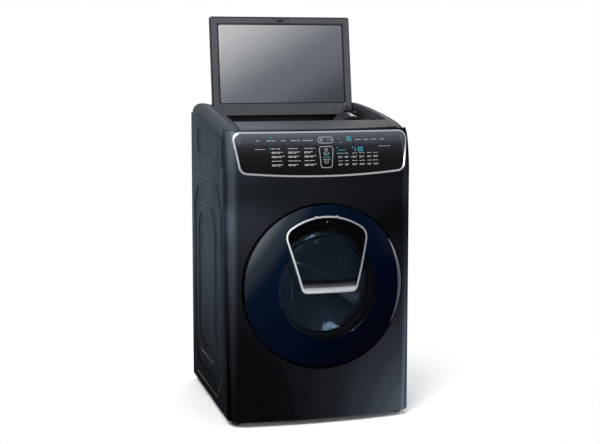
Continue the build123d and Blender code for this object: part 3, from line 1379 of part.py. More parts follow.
save("base_frame", make_base_frame())
save("right_side_panel", make_side_panel())
save("left_side_panel", mirrored(make_side_panel()))
save("rear_panel", make_rear_panel())
save("rear_access_cover", make_rear_access_cover())
save("panel_screws", make_panel_screws())
save("front_panel", make_front_panel())
save("top_cover", make_top_cover())
save("console_surround", make_console_surround())
save("console_fascia", make_console_fascia())
save("console_trim", make_console_trim())
save("key_rings", Compound(key_rings()))
save("control_board", make_control_board())
save("deck_strip", make_deck_strip())
save("tub_deck", make_tub_deck())
save("dispenser_housing", make_dispenser_housing())
save("dispenser_drawer", make_dispenser_drawer())
save("upper_tub", make_upper_tub())
save("hanger_rods", make_hanger_rods())
save("upper_motor", make_upper_motor())
save("upper_basket", make_upper_basket())
save("pulsator", make_pulsator())
save("lid_hinge_pins", make_lid_hinge_pins())
save("lid_shell", make_lid_shell())
save("lid_frame", make_lid_frame())
save("lid_inner_panel", make_lid_inner_panel())
save("lid_hinge_cover", make_lid_hinge_cover())
save("tub_front", make_tub_front())
save("tub_rear", make_tub_rear())
save("drum_bearings", make_drum_bearings())
save("basket", make_basket())
save("lifters", make_lifters())
save("spider_shaft", make_spider_shaft())
save("stator", make_stator())
save("rotor", make_rotor())
save("door_gasket", make_door_gasket())
save("counterweights", make_counterweights())
save("suspension_springs", make_suspension_springs())
save("dampers", make_dampers())
save("drain_pump", make_drain_pump())
save("drain_filter", make_drain_filter())
save("filter_cover", make_filter_cover())
save("inlet_valves", make_inlet_valves())
save("drain_outlet", make_drain_outlet())
save("cord_inlet", make_cord_inlet())
save("door_cover", make_door_cover())
save("door_window", make_door_window())
save("door_ring", make_door_ring())
save("door_handle", make_door_handle())
save("door_bowl", make_door_bowl())
save("door_hinge_arm", make_door_hinge_arm())
save("door_hinge", make_door_hinge())
save("door_lock", make_door_lock())
save("add_door_trim", make_add_door_trim())
save("add_door_glass", make_add_door_glass())
save("add_door_handle", make_add_door_handle())
for (x, y), place in zip(foot_spots(), ("front_left", "front_right", "rear_left", "rear_right")):
    save(f"foot_{place}", make_foot(x, y))
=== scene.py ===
from math import atan2, cos, pi, radians

import bpy
from bpy.props import FloatProperty, FloatVectorProperty, PointerProperty
from bpy.types import Operator, Panel, PropertyGroup
from mathutils import Matrix, Vector


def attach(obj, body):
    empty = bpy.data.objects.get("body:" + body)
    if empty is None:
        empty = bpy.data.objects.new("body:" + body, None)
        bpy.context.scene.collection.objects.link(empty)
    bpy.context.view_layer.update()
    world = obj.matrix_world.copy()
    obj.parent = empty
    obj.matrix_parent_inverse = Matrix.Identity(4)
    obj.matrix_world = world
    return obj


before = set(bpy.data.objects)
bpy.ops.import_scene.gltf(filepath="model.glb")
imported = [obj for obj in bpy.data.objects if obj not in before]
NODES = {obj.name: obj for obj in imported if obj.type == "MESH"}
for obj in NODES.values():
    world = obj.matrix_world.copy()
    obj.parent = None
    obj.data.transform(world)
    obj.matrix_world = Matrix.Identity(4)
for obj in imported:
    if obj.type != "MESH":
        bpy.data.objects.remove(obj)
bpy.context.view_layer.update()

bl_info = {
    "name": "Two-in-one washer",
    "version": (1, 0, 0),
    "blender": (4, 5, 0),
    "location": "View3D > Sidebar > Washer",
    "description": "Dresses a front-loading washer that carries a small top-loading washer",
    "category": "Object",
}

# Lines and middles of the machine, in metres
REAR_FACE = 0.3915
DOOR_MIDDLE = Vector((0.0, 0.0, 0.502))
TUB_MIDDLE = Vector((-0.045, 0.0210, 1.0200))
LID_HINGE = Vector((0.0, 0.2155, 1.092))
LID_LEAN = radians(-8.5)
DECK_SLOPE = radians(7.5)

# Edges sharper than these angles are rounded, and shaded as edges
BEVEL_ANGLE = radians(35)
SMOOTH_ANGLE = radians(30)
# Rounding of a thin bar, as a share of its least side
BAR_ROUND = 0.45
# Distance before the machine from which rays look for its front
RAY_FAR = 2.0

# Part of a noise's range that is spread over a roughness, and depth of every bump
NOISE_LOW = 0.3
NOISE_HIGH = 0.7
BUMP_DEPTH = 0.0002
# Scale of the smudges on sheets and on glass, and how dark they make glass
SHEET_SMUDGE = 3.5
GLASS_SMUDGE = 9.0
GLASS_DARK = 0.95
# Galvanised sheet: two colours and scale of its spangles, metallic, low and high roughness, scale
# and strength of its grain
ZINC_DARK = (0.29, 0.30, 0.31)
ZINC_LIGHT = (0.42, 0.43, 0.44)
SPANGLE_SCALE = 55.0
ZINC_METAL = 0.9
ZINC_ROUGH = (0.34, 0.50)
ZINC_GRAIN = 600.0
ZINC_BUMP = 0.10


# Settings that a user would change

COLOUR = {"subtype": "COLOR", "size": 3, "min": 0, "max": 1}
LENGTH = {"subtype": "DISTANCE", "unit": "LENGTH"}


class WasherColours(PropertyGroup):
    """Colours of the machine's main finishes."""
    front: FloatVectorProperty(
        name="Front lacquer", description="Lacquer of the front, console surround and lid",
        **COLOUR, default=(0.0085, 0.0100, 0.0125))
    side: FloatVectorProperty(
        name="Side lacquer", description="Lacquer of the two side panels",
        **COLOUR, default=(0.034, 0.040, 0.047))
    top: FloatVectorProperty(
        name="Top lacquer", description="Lacquer of the two shoulders",
        **COLOUR, default=(0.040, 0.046, 0.055))
    console: FloatVectorProperty(
        name="Console", description="Polished face of the console",
        **COLOUR, default=(0.0046, 0.0052, 0.0061))
    lamp: FloatVectorProperty(
        name="Console lamps", description="Light of the digits and small lamps on the console",
        **COLOUR, default=(0.010, 0.230, 0.290))
    print_grey: FloatVectorProperty(
        name="Console print", description="Printed bars on the console",
        **COLOUR, default=(0.30, 0.31, 0.32))


class WasherSizes(PropertyGroup):
    """Sizes of the details that are added to the machine."""
    bar_height: FloatProperty(
        name="Printed bar", description="Height of one printed bar on the console",
        **LENGTH, min=0.0005, max=0.01, default=0.0019)
    digit_height: FloatProperty(
        name="Digit", description="Height of a lit digit on the console",
        **LENGTH, min=0.004, max=0.03, default=0.0135)
    louvre_length: FloatProperty(
        name="Louvre", description="Length of one pressed louvre in the rear panel",
        **LENGTH, min=0.02, max=0.15, default=0.085)
    hole_pitch: FloatProperty(
        name="Basket holes", description="Distance between the drain holes of the baskets",
        **LENGTH, min=0.012, max=0.06, default=0.028)


class WasherStage(PropertyGroup):
    """Floor, light and camera."""
    floor: FloatVectorProperty(
        name="Floor", description="Colour of the floor",
        **COLOUR, default=(0.86, 0.865, 0.87))
    key_power: FloatProperty(
        name="Main light", description="Power of the large soft light over the machine",
        unit="POWER", min=0, max=2000, default=120.0)
    drum_power: FloatProperty(
        name="Drum light", description="Power of the small light inside the main drum",
        unit="POWER", min=0, max=50, default=0.5)
    lens: FloatProperty(
        name="Lens", description="Focal length of the camera",
        subtype="DISTANCE_CAMERA", min=10, max=300, default=70.70)


# Small helpers for modelling by operators

def deselect():
    if bpy.context.object and bpy.context.object.mode != "OBJECT":
        bpy.ops.object.mode_set(mode="OBJECT")
    bpy.ops.object.select_all(action="DESELECT")


def use(piece):
    """Select one piece alone and make it active."""
    deselect()
    piece.select_set(True)
    bpy.context.view_layer.objects.active = piece


def started():
    """The object that the last primitive operator made."""
    return bpy.context.object


def bevelled(piece, width, segments):
    """Round the sharp edges of a piece."""
    use(piece)
    bpy.ops.object.transform_apply(location=False, rotation=False, scale=True)
    modifier = piece.modifiers.new("Rounding", "BEVEL")
    modifier.width = width
    modifier.segments = segments
    modifier.limit_method = "ANGLE"
    modifier.angle_limit = BEVEL_ANGLE
    bpy.ops.object.modifier_apply(modifier=modifier.name)
    return piece


def edited(piece, change, **values):
    """Run one operator on the whole mesh of a piece."""
    use(piece)
    bpy.ops.object.mode_set(mode="EDIT")
    bpy.ops.mesh.select_all(action="SELECT")
    change(**values)
    bpy.ops.object.mode_set(mode="OBJECT")
    return piece


def stretched(piece, shares):
    """Stretch a piece's mesh about the origin, by a share for each axis."""
    return edited(piece, bpy.ops.transform.resize, value=shares, center_override=(0, 0, 0))


def cut_across(piece, y, side):
    """Cut a piece's mesh across Y and drop its rear, side 1, or its front, side -1."""
    return edited(piece, bpy.ops.mesh.bisect, plane_co=(0, y, 0), plane_no=(0, side, 0),
                  use_fill=True, clear_outer=True)


def bar_piece(width, height, thick):
    """A thin bar with rounded edges, drawn flat about the origin."""
    deselect()
    bpy.ops.mesh.primitive_cube_add(size=1, scale=(width, height, thick))
    return bevelled(started(), BAR_ROUND * min(width, height, thick), 2)


def ring_piece(radius, wire, sides, shares):
    """A ring about Z of a thin wire, stretched; sides counts along the ring and round the wire."""
    deselect()
    bpy.ops.mesh.primitive_torus_add(major_radius=radius, minor_radius=wire,
                                     major_segments=sides[0], minor_segments=sides[1])
    return stretched(started(), shares)


def place(piece, matrix):
    """Move a piece that was modelled at the origin to its place, in its mesh."""
    use(piece)
    bpy.ops.object.transform_apply(location=True, rotation=True, scale=True)
    piece.data.transform(matrix)
    return piece


def copies(piece, matrices):
    """Copies of one modelled piece, each with its own mesh, joined to one."""
    made = []
    for matrix in matrices:
        copy = piece.copy()
        copy.data = piece.data.copy()
        copy.data.transform(matrix)
        bpy.context.collection.objects.link(copy)
        made.append(copy)
    bpy.data.objects.remove(piece)
    return joined(made)


def joined(pieces):
    deselect()
    for piece in pieces:
        piece.select_set(True)
    bpy.context.view_layer.objects.active = pieces[0]
    if len(pieces) > 1:
        bpy.ops.object.join()
    return pieces[0]


def dress(piece, look):
    """Give a piece or a CAD node its finish."""
    piece.data.materials.clear()
    piece.data.materials.append(FINISHES[look].material)


def settle(piece, name, body, look):
    """Freeze a piece in place, name it, dress it and let it ride on its body."""
    use(piece)
    bpy.ops.object.transform_apply(location=True, rotation=True, scale=True)
    bpy.ops.object.shade_smooth_by_angle(angle=SMOOTH_ANGLE)
    piece.name = name
    piece.data.name = name
    dress(piece, look)
    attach(piece, body)


# Shader nodes and shared effects

def give(tree, socket, value):
    """Give an input a value or another node's output."""
    if isinstance(value, bpy.types.NodeSocket):
        tree.links.new(value, socket)
    else:
        socket.default_value = value


def plug(tree, node, **inputs):
    """Fill inputs of a node by their names, with underscores for spaces."""
    for label, value in inputs.items():
        give(tree, node.inputs[label.replace("_", " ")], value)
    return node


def add(tree, kind, **inputs):
    """A new shader node with its inputs."""
    return plug(tree, tree.nodes.new("ShaderNode" + kind), **inputs)


def operate(tree, kind, operation, *values):
    """A Math or VectorMath node on sockets or numbers."""
    node = add(tree, kind)
    node.operation = operation
    for socket, value in zip(node.inputs, values):
        give(tree, socket, value)
    return node


def maths(tree, operation, a, b):
    return operate(tree, "Math", operation, a, b).outputs[0]


def group(name, values, results):
    """An empty node group: Vector and other inputs with their values, and results in numbers."""
    tree = bpy.data.node_groups.new(name, "ShaderNodeTree")
    tree.interface.new_socket("Vector", in_out="INPUT", socket_type="NodeSocketVector")
    for label, value in values.items():
        kind = "NodeSocketVector" if isinstance(value, tuple) else "NodeSocketFloat"
        socket = tree.interface.new_socket(label, in_out="INPUT", socket_type=kind)
        socket.default_value = value
    for label in results:
        tree.interface.new_socket(label, in_out="OUTPUT", socket_type="NodeSocketFloat")
    return tree, tree.nodes.new("NodeGroupInput").outputs, tree.nodes.new("NodeGroupOutput")


def spread(tree, start, noise):
    """A noise spread over the Low and High of its group."""
    return add(tree, "MapRange", Value=noise, From_Min=NOISE_LOW, From_Max=NOISE_HIGH,
               To_Min=start["Low"], To_Max=start["High"]).outputs["Result"]


def grain_group():
    """Fine moulded grain and slow smudges."""
    if "Moulded grain" in bpy.data.node_groups:
        return bpy.data.node_groups["Moulded grain"]
    tree, start, end = group(
        "Moulded grain", {"Scale": 900.0, "Smudge Scale": 6.0, "Low": 0.3, "High": 0.4},
        ("Height", "Roughness", "Smudge"))
    fine = add(tree, "TexNoise", Vector=start["Vector"], Scale=start["Scale"], Detail=3)
    slow = add(tree, "TexNoise", Vector=start["Vector"], Scale=start["Smudge Scale"], Detail=4,
               Roughness=0.6).outputs["Fac"]
    plug(tree, end, Height=fine.outputs["Fac"], Roughness=spread(tree, start, slow), Smudge=slow)
    return tree


def hairline_group():
    """Long fine lines of a brushed sheet; Stretch turns the lines along an axis."""
    if "Hairlines" in bpy.data.node_groups:
        return bpy.data.node_groups["Hairlines"]
    tree, start, end = group(
        "Hairlines", {"Stretch": (1500.0, 1500.0, 9.0), "Low": 0.28, "High": 0.42},
        ("Height", "Roughness"))
    drawn = operate(tree, "VectorMath", "MULTIPLY", start["Vector"], start["Stretch"])
    lines = add(tree, "TexNoise", Vector=drawn.outputs["Vector"], Scale=1.0, Detail=2)
    lines = lines.outputs["Fac"]
    plug(tree, end, Height=lines, Roughness=spread(tree, start, lines))
    return tree


# Materials

class Finish:
    """A material with its Principled shader, built up step by step."""

    def __init__(self, name, colour, roughness, metallic=0.0):
        self.material = bpy.data.materials.new(name)
        self.material.use_nodes = True
        self.tree = self.material.node_tree
        self.place = add(self.tree, "TexCoord").outputs["Object"]
        self.set(Base_Color=(*colour, 1.0), Roughness=roughness, Metallic=metallic)

    def set(self, **inputs):
        """Fill inputs of the shader."""
        plug(self.tree, self.tree.nodes["Principled BSDF"], **inputs)

    def effect(self, shared, **inputs):
        """The results of a node group on the piece's coordinates."""
        node = add(self.tree, "Group")
        node.node_tree = shared
        return plug(self.tree, node, Vector=self.place, **inputs).outputs

    def bump(self, height, strength):
        node = add(self.tree, "Bump", Strength=strength, Distance=BUMP_DEPTH, Height=height)
        self.set(Normal=node.outputs["Normal"])

    def along(self, axis):
        """One coordinate of the piece, in metres."""
        return add(self.tree, "SeparateXYZ", Vector=self.place).outputs[axis]

    def slanted(self, x_share, z_share, z_start):
        """A value that changes across and up the piece: a share of X and a share of Z."""
        across = maths(self.tree, "MULTIPLY", self.along("X"), x_share)
        up = maths(self.tree, "SUBTRACT", self.along("Z"), z_start)
        return maths(self.tree, "ADD", across, maths(self.tree, "MULTIPLY", up, z_share))

    def ranged(self, value, start, end, low=0.0, high=1.0, kind="SMOOTHSTEP"):
        """A value spread from one range over another."""
        node = add(self.tree, "MapRange", Value=value, From_Min=start, From_Max=end, To_Min=low,
                   To_Max=high)
        node.interpolation_type = kind
        return node.outputs["Result"]

    def graded(self, value, stops):
        """Base colour that changes along a value, by pairs of value and colour: the painted light
        and shade of several finishes.
        """
        first, last = stops[0][0], stops[-1][0]
        ramp = add(self.tree, "ValToRGB", Fac=self.ranged(value, first, last, kind="LINEAR"))
        ramp.color_ramp.interpolation = "EASE"
        elements = ramp.color_ramp.elements
        while len(elements) < len(stops):
            elements.new(0.5)
        for element, (spot, colour) in zip(elements, stops):
            element.position = (spot - first) / (last - first)
            element.color = (*colour, 1.0)
        self.set(Base_Color=ramp.outputs["Color"])

    def tint(self, mask, first, second):
        """Base colour between two colours, by a mask."""
        node = add(self.tree, "Mix")
        node.data_type = "RGBA"
        plug(self.tree, node, Factor=mask, A=(*first, 1.0), B=(*second, 1.0))
        self.set(Base_Color=node.outputs["Result"])


def shade(colour, level):
    return tuple(min(1.0, value * level) for value in colour)


def shades(colour, stops):
    """Stops of value and level as stops of value and colour."""
    return [(value, shade(colour, level)) for value, level in stops]


def grained(name, colour, low, high, scale, strength, vary, metallic):
    """Moulded or lacquered finish: fine grain, slow smudges and a little change of colour."""
    made = Finish(name, colour, low, metallic)
    grain = made.effect(grain_group(), Scale=scale, Low=low, High=high)
    made.set(Roughness=grain["Roughness"])
    made.bump(grain["Height"], strength)
    if vary:
        made.tint(grain["Smudge"], shade(colour, 1 - vary), shade(colour, 1 + vary))
    return made


def brushed(name, colour, low, high, stretch, strength, vary, metallic):
    """Brushed sheet: hairlines in the bump and the roughness, smudges in the colour."""
    made = Finish(name, colour, low, metallic)
    lines = made.effect(hairline_group(), Stretch=stretch, Low=low, High=high)
    made.set(Roughness=lines["Roughness"])
    made.bump(lines["Height"], strength)
    if vary:
        grain = made.effect(grain_group(), Smudge_Scale=SHEET_SMUDGE)
        made.tint(grain["Smudge"], shade(colour, 1 - vary), shade(colour, 1 + vary))
    return made


def glass(name, colour, low, high, bend):
    """Clear finish with faint smudges."""
    made = Finish(name, colour, low)
    grain = made.effect(grain_group(), Low=low, High=high, Smudge_Scale=GLASS_SMUDGE)
    made.set(Transmission_Weight=1.0, IOR=bend, Roughness=grain["Roughness"])
    made.tint(grain["Smudge"], shade(colour, GLASS_DARK), colour)
    return made


def zinc_sheet():
    """Galvanised sheet with its pale spangles."""
    low, high = ZINC_ROUGH
    made = Finish("zinc_sheet", ZINC_DARK, low, ZINC_METAL)
    cells = add(made.tree, "TexVoronoi", Vector=made.place, Scale=SPANGLE_SCALE)
    tone = add(made.tree, "SeparateColor", Color=cells.outputs["Color"])
    made.tint(tone.outputs["Red"], ZINC_DARK, ZINC_LIGHT)
    grain = made.effect(grain_group(), Low=low, High=high, Scale=ZINC_GRAIN)
    made.set(Roughness=grain["Roughness"])
    made.bump(grain["Height"], ZINC_BUMP)
    return made


FINISHES = {}

# Moulded and lacquered finishes: colour or the setting that gives it, low and high roughness,
# scale and strength of the grain, change of the colour, metallic
GRAINED = {
    "side_lacquer": ("side", 0.26, 0.34, 1400, 0.05, 0.0, 0.0),
    "top_lacquer": ("top", 0.36, 0.46, 1400, 0.06, 0.12, 0.0),
    "lid_lacquer": ("front", 0.40, 0.50, 1400, 0.06, 0.12, 0.0),
    "console_gloss": ("console", 0.07, 0.13, 300, 0.01, 0.0, 0.0),
    "door_navy": ((0.0012, 0.0042, 0.0130), 0.20, 0.28, 240, 0.006, 0.0, 0.0),
    "grip_grey": ((0.045, 0.052, 0.062), 0.28, 0.36, 1200, 0.05, 0.08, 0.6),
    "soft_black": ((0.006, 0.007, 0.0085), 0.40, 0.52, 1100, 0.15, 0.12, 0.0),
    "deck_grey": ((0.018, 0.020, 0.024), 0.30, 0.40, 1200, 0.06, 0.08, 0.4),
    "frame_grey": ((0.037, 0.043, 0.051), 0.36, 0.46, 1200, 0.08, 0.08, 0.4),
    "cast_alloy": ((0.46, 0.47, 0.48), 0.42, 0.55, 500, 0.3, 0.1, 1.0),
    "cast_iron": ((0.07, 0.072, 0.078), 0.55, 0.70, 400, 0.4, 0.2, 0.6),
    "moulded_pale": ((0.50, 0.51, 0.50), 0.38, 0.50, 900, 0.12, 0.05, 0.0),
    "black_rubber": ((0.022, 0.0225, 0.024), 0.60, 0.75, 700, 0.25, 0.2, 0.0),
    "gasket_rubber": ((0.09, 0.092, 0.096), 0.50, 0.62, 700, 0.15, 0.12, 0.0),
    "board_green": ((0.02, 0.10, 0.05), 0.35, 0.50, 300, 0.1, 0.2, 0.0),
    "print_grey": ("print_grey", 0.45, 0.55, 2000, 0.05, 0.08, 0.0),
    "lamp_teal": ("lamp", 0.35, 0.45, 2000, 0.02, 0.10, 0.0),
}

# Brushed finishes: colour or the setting that gives it, low and high roughness, scale of the
# hairlines along each axis, their strength, change of the colour, metallic
BRUSHED = {
    "hairline_black": ("front", 0.30, 0.42, (1400, 1400, 7), 0.06, 0.0, 1.0),
    "bright_trim": ((0.36, 0.375, 0.40), 0.22, 0.32, (30, 900, 900), 0.03, 0.12, 1.0),
    "shield_trim": ((0.36, 0.375, 0.40), 0.22, 0.32, (30, 900, 900), 0.03, 0.0, 1.0),
    "pull_metal": ((0.3, 0.31, 0.32), 0.22, 0.32, (12, 900, 900), 0.05, 0.0, 1.0),
    "strip_grey": ((0.05, 0.055, 0.063), 0.55, 0.65, (6, 1300, 1300), 0.02, 0.0, 0.0),
    "lid_silver": ((0.3, 0.31, 0.33), 0.24, 0.34, (7, 1500, 1500), 0.05, 0.0, 0.7),
    "basket_steel": ((0.56, 0.57, 0.58), 0.22, 0.34, (900, 10, 900), 0.06, 0.12, 1.0),
    "upper_steel": ((0.56, 0.57, 0.58), 0.22, 0.34, (900, 900, 10), 0.06, 0.12, 1.0),
    "brushed_steel": ((0.52, 0.53, 0.54), 0.24, 0.36, (900, 12, 900), 0.06, 0.12, 1.0),
}

# Clear finishes: colour, low and high roughness, index of refraction
GLASS = {
    "smoked_glass": ((0.12, 0.175, 0.25), 0.015, 0.035, 1.10),
    "clear_glass": ((0.86, 0.90, 0.93), 0.02, 0.04, 1.46),
}

# Shader values that a finish has besides
SHADER_VALUES = {
    "hairline_black": dict(Specular_Tint=(0.22, 0.22, 0.23, 1.0)),
    "side_lacquer": dict(Specular_IOR_Level=0.0, Specular_Tint=(0.36, 0.40, 0.44, 1.0)),
    "top_lacquer": dict(Specular_IOR_Level=0.0, Coat_Weight=0.08, Coat_Roughness=0.3),
    "lid_lacquer": dict(Specular_IOR_Level=0.05),
    "console_gloss": dict(Specular_IOR_Level=0.03, Coat_Weight=0.02),
    "door_navy": dict(Specular_IOR_Level=0.005),
    "soft_black": dict(Specular_IOR_Level=0.15),
    "strip_grey": dict(Specular_IOR_Level=0.05),
    "lamp_teal": dict(Emission_Strength=0.7),
}

# Painted light and shade of three lacquers across the front, up the sides and up the console, as
# shares of their colours
FRONT_PAINTED_LIGHT = [(-0.110, 0.3), (-0.055, 0.4), (-0.027, 0.7), (0.014, 1.2), (0.062, 2.6),
               (0.096, 4.4), (0.130, 6.5), (0.170, 11.0)]
SIDE_PAINTED_LIGHT = [(0.06, 0.10), (0.30, 0.30), (0.60, 0.8), (0.95, 1.0)]
CONSOLE_PAINTED_REFLECTION = [(0.890, 0.3), (0.930, 0.6), (0.965, 1.0), (0.995, 2.2), (1.022, 7.0),
                 (1.046, 12.0)]

# Height at which the front's painted light changes sides, then the runs over which its painted
# crown evens out, its two edges grow light as painted highlights and the side panels grow metallic:
# start and end, low and high
FRONT_MIDDLE = 0.50
FRONT_CROWN = (0.72, 0.86, 0.0, 0.25)
FRONT_PAINTED_EDGES = [(-0.305, -0.325, 0.0, 0.09), (0.295, 0.325, 0.0, 0.13)]
SIDE_METAL = (0.05, 0.75, 0.10, 1.0)

# Painted light along a slant, in place of the plain colours: painted highlights down the left of
# the add-item door's trim, at the foot of its pull and on the upper left of the round door, painted
# light fading to shade across the deck strip, and a painted reflection at the upper left of the
# lid's inner panel. Shares of X and of Z and the start of Z, then pairs of value and colour
PAINTED_SLANTS = {
    "shield_trim": ((1.0, 0.35, 0.49), [
        (-0.10, (0.58, 0.60, 0.62)), (0.09, (0.40, 0.415, 0.43)), (0.22, (0.17, 0.18, 0.195))]),
    "strip_grey": ((1.0, 0.0, 0.0), [
        (-0.30, (0.060, 0.066, 0.076)), (0.0, (0.032, 0.036, 0.042)),
        (0.30, (0.006, 0.007, 0.009))]),
    "pull_metal": ((0.0, 1.0, 0.0), [
        (0.499, (0.60, 0.61, 0.63)), (0.508, (0.40, 0.41, 0.43)),
        (0.515, (0.09, 0.095, 0.105)), (0.524, (0.012, 0.013, 0.015))]),
    "lid_silver": ((-0.62, 1.0, 0.0), [
        (1.00, (0.036, 0.041, 0.049)), (1.22, (0.100, 0.109, 0.124)),
        (1.60, (0.37, 0.38, 0.39))]),
    "door_navy": ((-0.8, 0.6, 0.0), [
        (0.05, (0.0000, 0.0004, 0.0040)), (0.34, (0.0004, 0.0026, 0.0090)),
        (0.49, (0.0011, 0.0042, 0.0118)), (0.55, (0.014, 0.018, 0.025)),
        (0.60, (0.070, 0.077, 0.088))]),
}


def paint_front_light(made, colour):
    """Painted light of the front: painted highlights at its lower right, upper left and edges, even
    at its crown.
    """
    across, up = made.along("X"), made.along("Z")
    below = maths(made.tree, "SUBTRACT", FRONT_MIDDLE, up)
    below = maths(made.tree, "ADD", below, made.ranged(up, *FRONT_CROWN))
    light = maths(made.tree, "MULTIPLY", across, below)
    for edge in FRONT_PAINTED_EDGES:
        light = maths(made.tree, "ADD", light, made.ranged(across, *edge))
    made.graded(light, shades(colour, FRONT_PAINTED_LIGHT))


def make_finishes(colours):
    """Every finish of the machine, by its own name."""
    for make, table in ((grained, GRAINED), (brushed, BRUSHED), (glass, GLASS)):
        for name, (colour, *values) in table.items():
            if isinstance(colour, str):
                colour = tuple(getattr(colours, colour))
            FINISHES[name] = make(name, colour, *values)
    FINISHES["zinc_sheet"] = zinc_sheet()
    for name, values in SHADER_VALUES.items():
        FINISHES[name].set(**values)
    FINISHES["lamp_teal"].set(Emission_Color=(*colours.lamp, 1.0))
    # Painted light and painted highlights in the base colour of the front
    paint_front_light(FINISHES["hairline_black"], colours.front)
    side, console = FINISHES["side_lacquer"], FINISHES["console_gloss"]
    # Painted shade low on the side panels and painted light higher up
    side.graded(side.along("Z"), shades(colours.side, SIDE_PAINTED_LIGHT))
    side.set(Metallic=side.ranged(side.along("Z"), *SIDE_METAL))
    # Painted reflection: the console's face lighter towards its top
    console.graded(console.along("Z"), shades(colours.console, CONSOLE_PAINTED_REFLECTION))
    # Painted highlights, shade and reflections along the slants
    for name, (slant, stops) in PAINTED_SLANTS.items():
        FINISHES[name].graded(FINISHES[name].slanted(*slant), stops)


# Placing on the machine's surfaces

def standing(node, x, z, lift):
    """Matrix that stands a flat piece, drawn in X and Y, a little off the front of a CAD node."""
    start, back = Vector((x, -RAY_FAR, z)), Vector((0, 1, 0))
    hit, point, normal, _ = NODES[node].ray_cast(start, back)
    if not hit:
        raise RuntimeError(f"nothing of {node} at {x:.3f}, {z:.3f}")
    across = Vector((0, 0, 1)).cross(normal).normalized()
    up = normal.cross(across)
    turn = Matrix((across, up, normal)).transposed().to_4x4()
    return Matrix.Translation(point + normal * lift) @ turn


# Console print, in metres: columns by their left end or middle and their widths, rows by their
# height and number of lines
LEFT_COLUMNS = [(-0.189, (0.030, 0.040, 0.046, 0.036, 0.040)),
                (-0.131, (0.034, 0.042, 0.040, 0.044, 0.034)),
                (-0.073, (0.038, 0.030, 0.042, 0.036, 0.044))]
LEFT_ROWS = [(0.9935, 1), (0.9800, 2), (0.9655, 2), (0.9510, 1), (0.9365, 2)]
RIGHT_COLUMNS = [(0.059, 0.017), (0.082, 0.014), (0.112, 0.018), (0.140, 0.020), (0.168, 0.016),
                 (0.193, 0.019)]
RIGHT_ROWS = [(0.9740, 1), (0.9610, 2), (0.9475, 1), (0.9345, 2)]

# Rows over the columns: height, then left end or middle and width of each line
TOP_LEFT_Z = 1.0210
TOP_LEFT = [(-0.242, 0.012), (-0.203, 0.029), (-0.153, 0.016), (-0.118, 0.032), (-0.076, 0.037)]
TOP_RIGHT_Z = 1.0205
TOP_RIGHT = [(0.129, 0.020), (0.159, 0.018), (0.188, 0.022), (0.221, 0.018)]

# Single lines by left end, height and width, with their share of a bar's height, and the lines of
# the middle key by height and width
SINGLE_LINES = [(-0.246, 0.9920, 0.034, 0.8), (0.207, 0.9960, 0.044, 0.7),
                (0.0225, 1.0215, 0.008, 1.0)]
KEY_X = 0.007
KEY_LINES = [(0.9760, 0.024), (0.9700, 0.018), (0.9540, 0.026), (0.9475, 0.020), (0.9410, 0.014)]
KEY_LINE_HIGH = 0.8

# Lines of a row: their step in heights of a bar, how much shorter each next line is, and the
# height of a bar on the right
LINE_STEP = 1.9
LEFT_TAPER = 0.25
RIGHT_TAPER = 0.2
RIGHT_HIGH = 0.85

# Least width of a line that is cut up, and the shares of its bars
WORDS = [(0.033, (0.42, 0.30, 0.18)), (0.015, (0.55, 0.35)), (0.0, (1.0,))]
INK_THICK = 0.0005
INK_LIFT = 0.0001

# Digits by first middle and height, the bars of each digit, and their shares of its height or width
DIGITS = [("30", 0.0880, 1.0240), ("1", 0.1120, 0.9870), ("20", 0.1290, 0.9870)]
SEGMENTS = {"0": "abcdef", "1": "bc", "2": "abged", "3": "abgcd"}
DIGIT_WIDE = 0.5
DIGIT_STEP = 1.6
SEGMENT_THICK = 0.13
SEGMENT_LONG = 0.84

# Small lamps by middle and height, and lit lines by middle, height and length
LAMP_DOTS = [(-0.189, 1.0315), (-0.1935, 0.9935), (0.055, 1.0250), (0.063, 1.0120),
             (0.047, 0.9940), (0.106, 0.9940), (0.0475, 0.9740), (0.0720, 0.9740),
             (0.0990, 0.9610), (0.1820, 0.9475), (0.0160, 1.0215)]
LAMP_DOT = 0.0030
LAMP_LINES = [(0.064, 0.9850, 0.030), (0.007, 0.9620, 0.026)]
LAMP_LINE_HIGH = 0.0012

# Ring marks of the keys by middle, height and radius, and the tick on each
KEY_MARKS = [(-0.0080, 1.0215, 0.0042), (0.0070, 0.9870, 0.0048)]
MARK_WIRE = 0.0007
MARK_SIDES = (40, 8)
MARK_FLAT = 0.4
MARK_LIFT = 0.0002
TICK_WIDE = 0.0013
TICK_LIFT = 0.0004


def ink(x, z, width, height, lift=INK_LIFT):
    """A thin bar of ink or light on the face of the console."""
    spot = standing("console_fascia", x, z, lift)
    return place(bar_piece(width, height, INK_THICK), spot)


def stacked(z, count, high):
    """Numbers and heights of the lines of one row."""
    return [(row, z + ((count - 1) / 2 - row) * LINE_STEP * high) for row in range(count)]


def words(width):
    """A line of print cut up into a few bars: their middles and lengths."""
    shares = next(shares for least, shares in WORDS if width > least)
    gap = width * (1 - sum(shares)) / max(1, len(shares) - 1)
    spans = []
    start = 0.0
    for share in shares:
        spans.append((start + width * share / 2, width * share))
        start += width * share + gap
    return spans


